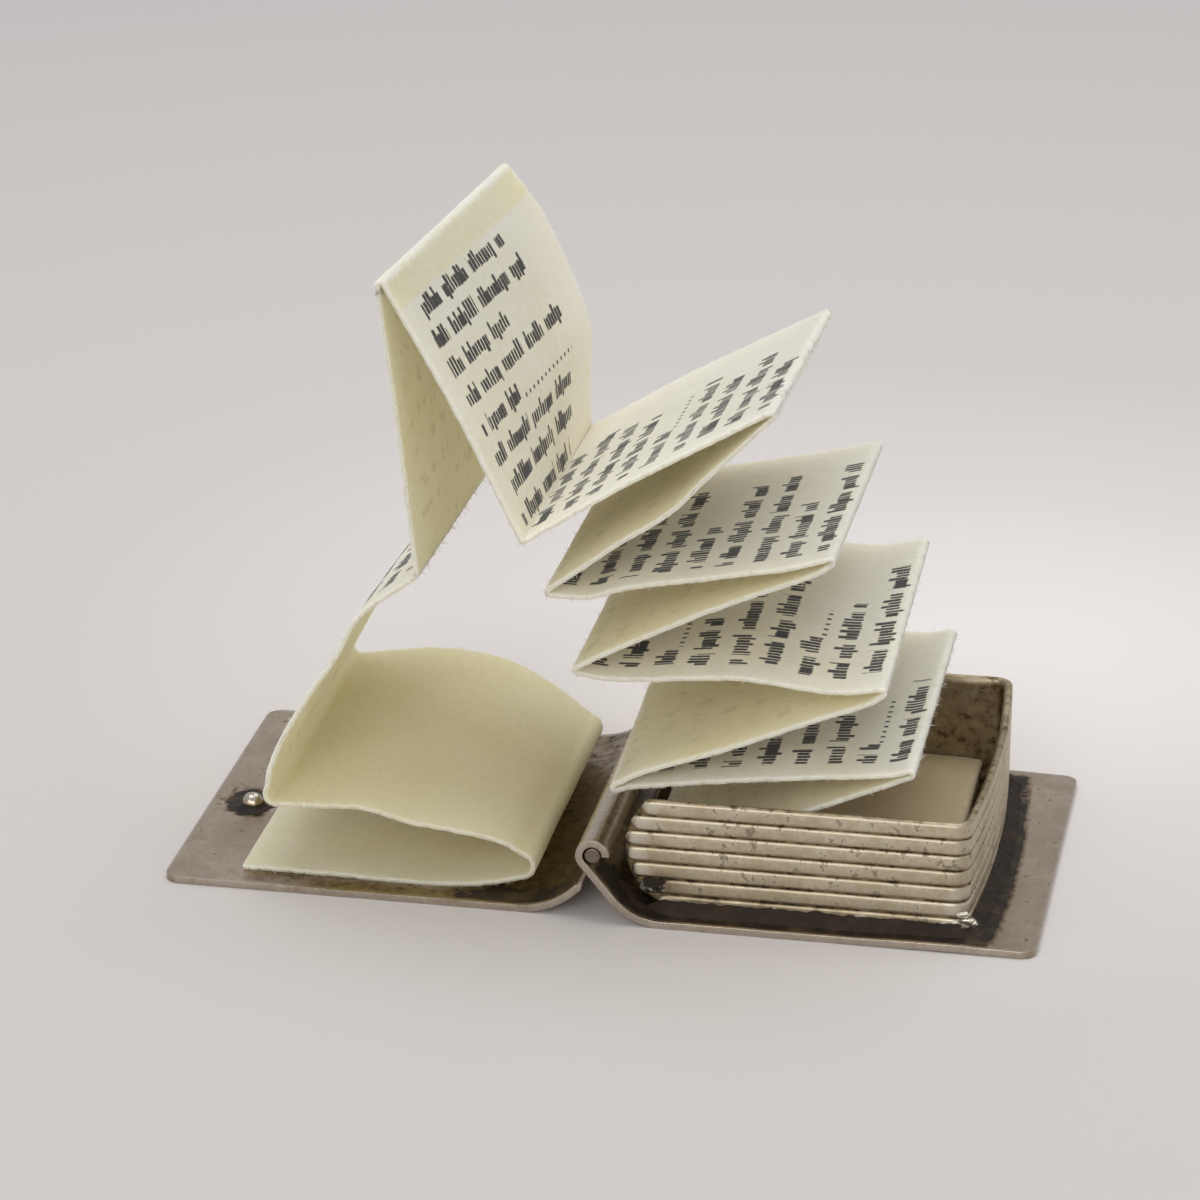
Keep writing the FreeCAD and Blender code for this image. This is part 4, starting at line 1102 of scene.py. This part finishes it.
def make_pages(name, first, last, seed):
    """A stretch of the strip, from one place to another in panels, with thickness and torn edges."""
    keep = [k for k in range(len(NEAR_ROWS)) if first <= NEAR_ROWS[k, 2] <= last]
    near, far = NEAR_ROWS[keep], FAR_ROWS[keep]
    near_side, far_side = row_directions(NEAR_ROWS)[keep], row_directions(FAR_ROWS)[keep]
    width = PAPER_FAR - PAPER_NEAR
    run = np.concatenate([[0], np.cumsum(np.linalg.norm(np.diff(near[:, :2], axis=0), axis=1))])
    columns = np.array(COLUMNS) * width / COLUMNS[-1]
    ring_count = 2 * len(columns) + 6
    edge_rub_and_highlight = 0.3 if last > 15 else 0.7
    points, marks = [], []
    for k in range(len(keep)):
        s = run[k] + seed * 50
        rag = {side: 0.07 + 0.05 * ripple(s, side, 0, 0.5, seed) + 0.045 * ripple(s, side, 0, 0.17, seed)
               + 0.03 * ripple(s, side, 0, 0.1, seed + 2) for side in (0, 1)}
        crease = abs(near[k, 2] - round(near[k, 2])) * PANEL
        soft_fold = near[k, 2] > 13.5
        # Along sharp creases the rub mark is also a painted highlight on the fold.
        rub_and_highlight = 0.0 if soft_fold else float(smooth(0.32, 0.12, crease))

        def middle(column):
            share = column / width
            px, pz = near[k, :2] * (1 - share) + far[k, :2] * share
            nx, nz = near_side[k] * (1 - share) + far_side[k] * share
            size = math.hypot(nx, nz) or 1
            edge = min(column, width - column)
            pull = rag[0] if column < width / 2 else -rag[1]
            y = PAPER_NEAR + column + pull * (1 - min(edge / 0.9, 1)) ** 2
            cockle = 0.022 * ripple(s, column, 0, 1.6, seed + 3)
            normal = np.array((nx / size, 0, nz / size))
            return np.array((px + nx / size * cockle, y, pz + nz / size * cockle)), normal

        half = PAPER / 2
        ring, info = [], []
        for face in (1, -1):
            order = columns if face == 1 else columns[::-1]
            for column in order:
                place, normal = middle(column)
                edge = min(column, width - column)
                burr = 1 + 0.25 * max(0, 1 - edge / 0.15) * (ripple(s, column, face, 0.2, seed) + 0.2)
                ring.append(place - normal * half * face * burr)
                info.append((column, face, max(rub_and_highlight, edge_rub_and_highlight * float(smooth(0.25, 0.0, edge)))))
            place, normal = middle(order[-1])
            away = 1 if order[-1] > width / 2 else -1
            for turn in (45, 90, 135):
                out = half * 0.8 * math.sin(math.radians(turn))
                out *= 1 + 0.5 * ripple(s, turn, away, 0.15, seed)
                lift = half * math.cos(math.radians(turn)) * face
                ring.append(place - normal * lift + np.array((0, away * out, 0)))
                info.append((order[-1], 0, edge_rub_and_highlight + 0.3))
        points.append(ring)
        marks.append([(column, near[k, 2] * LINES_A_PANEL, face, worn_and_lit) for column, face, worn_and_lit in info])
    count = len(points)
    flat = [tuple(p) for ring in points for p in ring]
    faces = []
    for k in range(count - 1):
        for s in range(ring_count):
            a, b = k * ring_count + s, k * ring_count + (s + 1) % ring_count
            faces.append((a, a + ring_count, b + ring_count, b))
    top = len(columns)
    for base, flip in ((0, False), ((count - 1) * ring_count, True)):
        below = [base + ring_count - 4 - j for j in range(top)]
        for j in range(top - 1):
            quad = (base + j, base + j + 1, below[j + 1], below[j])
            faces.append(quad[::-1] if flip else quad)
        faces.append(tuple(base + top - 1 + j for j in range(5)))
        faces.append(tuple([base + ring_count - 4 + j for j in range(4)] + [base]))
    obj = mesh_object(name, flat, faces, PAGE_PAPER)
    table = np.array([m for ring in marks for m in ring])
    layer = obj.data.attributes.new("strip_place", "FLOAT_VECTOR", "POINT")
    layer.data.foreach_set("vector", table[:, :3].astype(np.float32).ravel())
    paint(obj, "rub_and_highlight", table[:, 3] * (0.15 if last <= 3 else 1.0))
    # Floor pieces are darkened as aged paper and as painted shade under the stack.
    paint(obj, "age_and_shade", np.full(len(table), 1.0 if last <= 3 else 0.0))
    place_in_panels = table[:, 1] / LINES_A_PANEL
    crest = smooth(11.87, 11.89, place_in_panels) * smooth(12.0, 11.99, place_in_panels)
    paint(obj, "bare", np.maximum.reduce([
        smooth(3.0, 2.9, place_in_panels), smooth(13.97, 14.0, place_in_panels), crest]))
    work = bmesh.new()
    work.from_mesh(obj.data)
    bmesh.ops.recalc_face_normals(work, faces=work.faces)
    work.to_mesh(obj.data)
    work.free()
    shade(obj, 80)
    if last <= 3:
        return obj
    far_edge = [ring[len(columns) + 1] for ring in points]
    near_edge = [ring[2 * len(columns) + 4] for ring in points]
    fibres = [edge_fibres(name + "_far_fibres", far_edge, 1.0, 10 * seed),
              edge_fibres(name + "_near_fibres", near_edge, -1.0, 10 * seed + 1)]
    sheet = np.array(points)
    middle_sheet = (sheet[:, :len(columns)] + sheet[:, len(columns) + 3:2 * len(columns) + 3][:, ::-1]) / 2
    for crease in range(int(first) + 1, min(int(math.ceil(last)), 14)):
        at = int(np.argmin(np.abs(near[:, 2] - crease)))
        if 14 < at < count - 14:
            line = middle_sheet[at]
            out = line - (middle_sheet[at - 14] + middle_sheet[at + 14]) / 2
            out[:, 1] = 0
            out /= np.linalg.norm(out, axis=1)[:, None]
            fibres.append(edge_fibres(name + "_fold_fibres", line + out * 0.07, 0.0, 10 * seed + crease))
    return join(obj, fibres)


pages_floor = make_pages("pages_box_floor", 0.0, 3.0, 1)
pages_lower = make_pages("pages_lower_stack", 3.0, 8.0, 2)
pages_upper = make_pages("pages_upper_stack", 8.0, 12.05, 3)
pages_front = make_pages("pages_front_fold", 12.03, 16.0, 4)


# What rides on what

for piece, body, slot_name in (
    (back, "back", "cover_silver"), (wall, "back", "ridged_silver"), (ridges, "back", "ridged_silver"),
    (solder, "back", "ridged_silver"), (front, "front", "cover_silver"), (stud, "front", "cover_silver"),
    (pages_floor, "back", "page_paper"), (pages_lower, "back", "page_paper"),
    (pages_upper, "back", "page_paper"), (pages_front, "front", "page_paper"),
):
    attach(piece, body)
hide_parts("back_cover")
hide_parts("front_cover")
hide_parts("page_box")
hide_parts("page_box")
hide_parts("page_box")
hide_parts("catch_stud")
for piece in (pages_floor, pages_lower, pages_upper):
    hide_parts("folded_pages")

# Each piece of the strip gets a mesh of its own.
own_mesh(pages_floor)
for piece in (pages_lower, pages_upper):
    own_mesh(piece)
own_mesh(pages_front)


# Table, light and camera

def make_table():
    """A pale table top with a painted pool of light round the book, lighter there than further off."""
    half = 3.0
    corners = [(-half, -half, 0), (half, -half, 0), (half, half, 0), (-half, half, 0)]
    mesh = bpy.data.meshes.new("table_top")
    mesh.from_pydata(corners, [], [(0, 1, 2, 3)])
    obj = bpy.data.objects.new("table_top", mesh)
    scene.collection.objects.link(obj)
    n = Nodes("pale_table_painted_light")
    light_pool_distance = n.add("ShaderNodeVectorMath", operation="DISTANCE")
    n.feed(light_pool_distance.inputs[0], n.place)
    light_pool_distance.inputs[1].default_value = (0.007, 0.02, 0)
    n.feed(n.shader.inputs["Base Color"], n.ramp(
        n.math("DIVIDE", light_pool_distance.outputs["Value"], 0.25),
        (0.0, rgb(249, 244, 241)), (0.07, rgb(223, 218, 215)),
        (0.13, rgb(209, 204, 201)), (0.23, rgb(205, 200, 196)), (0.4, rgb(195, 193, 191)),
        (0.9, rgb(188, 187, 186))))
    n.shader.inputs["Roughness"].default_value = 0.75
    n.shader.inputs["Specular IOR Level"].default_value = 0.2
    mesh.materials.append(n.material)


make_table()

world = bpy.data.worlds.new("studio")
scene.world = world
world.use_nodes = True
backdrop = world.node_tree.nodes["Background"]
backdrop.inputs["Color"].default_value = rgb(224, 223, 224)
backdrop.inputs["Strength"].default_value = 0.8


def soft_lamp(name, place, aim, size, power):
    data = bpy.data.lights.new(name, "AREA")
    data.shape = "RECTANGLE"
    data.size, data.size_y = size
    data.energy = power
    lamp = bpy.data.objects.new(name, data)
    scene.collection.objects.link(lamp)
    lamp.location = place
    lamp.rotation_euler = (Vector(aim) - Vector(place)).to_track_quat("-Z", "Y").to_euler()


soft_lamp("overhead", (0.03, 0.1, 0.5), (0, 0, 0), (0.45, 0.4), 1.0)
soft_lamp("front_fill", (-0.05, -0.5, 0.22), (0, 0, 0.01), (0.3, 0.3), 1.0)

# The camera stands where the photograph was taken from.
VIEW_PLACE = (0.026384, -0.154252, 0.068393)
VIEW_WAY = (-0.16410754, 0.91940864, -0.35743037)
VIEW_TURN = math.radians(-10.12)
VIEW_ROLL = math.radians(0.55)
VIEW_LENS = 150.21

camera_data = bpy.data.cameras.new("view")
camera = bpy.data.objects.new("view", camera_data)
scene.collection.objects.link(camera)
forward = Vector(VIEW_WAY).normalized()
right = Vector((math.cos(VIEW_TURN), -math.sin(VIEW_TURN), 0))
upward = right.cross(forward)
rolled_right = right * math.cos(VIEW_ROLL) + upward * math.sin(VIEW_ROLL)
rolled_up = upward * math.cos(VIEW_ROLL) - right * math.sin(VIEW_ROLL)
camera.matrix_world = Matrix((
    (rolled_right.x, rolled_up.x, -forward.x, VIEW_PLACE[0]),
    (rolled_right.y, rolled_up.y, -forward.y, VIEW_PLACE[1]),
    (rolled_right.z, rolled_up.z, -forward.z, VIEW_PLACE[2]),
    (0, 0, 0, 1),
))
camera_data.sensor_fit = "HORIZONTAL"
camera_data.sensor_width = 36
camera_data.lens = VIEW_LENS
camera_data.clip_start = 0.005
camera_data.clip_end = 20
scene.camera = camera
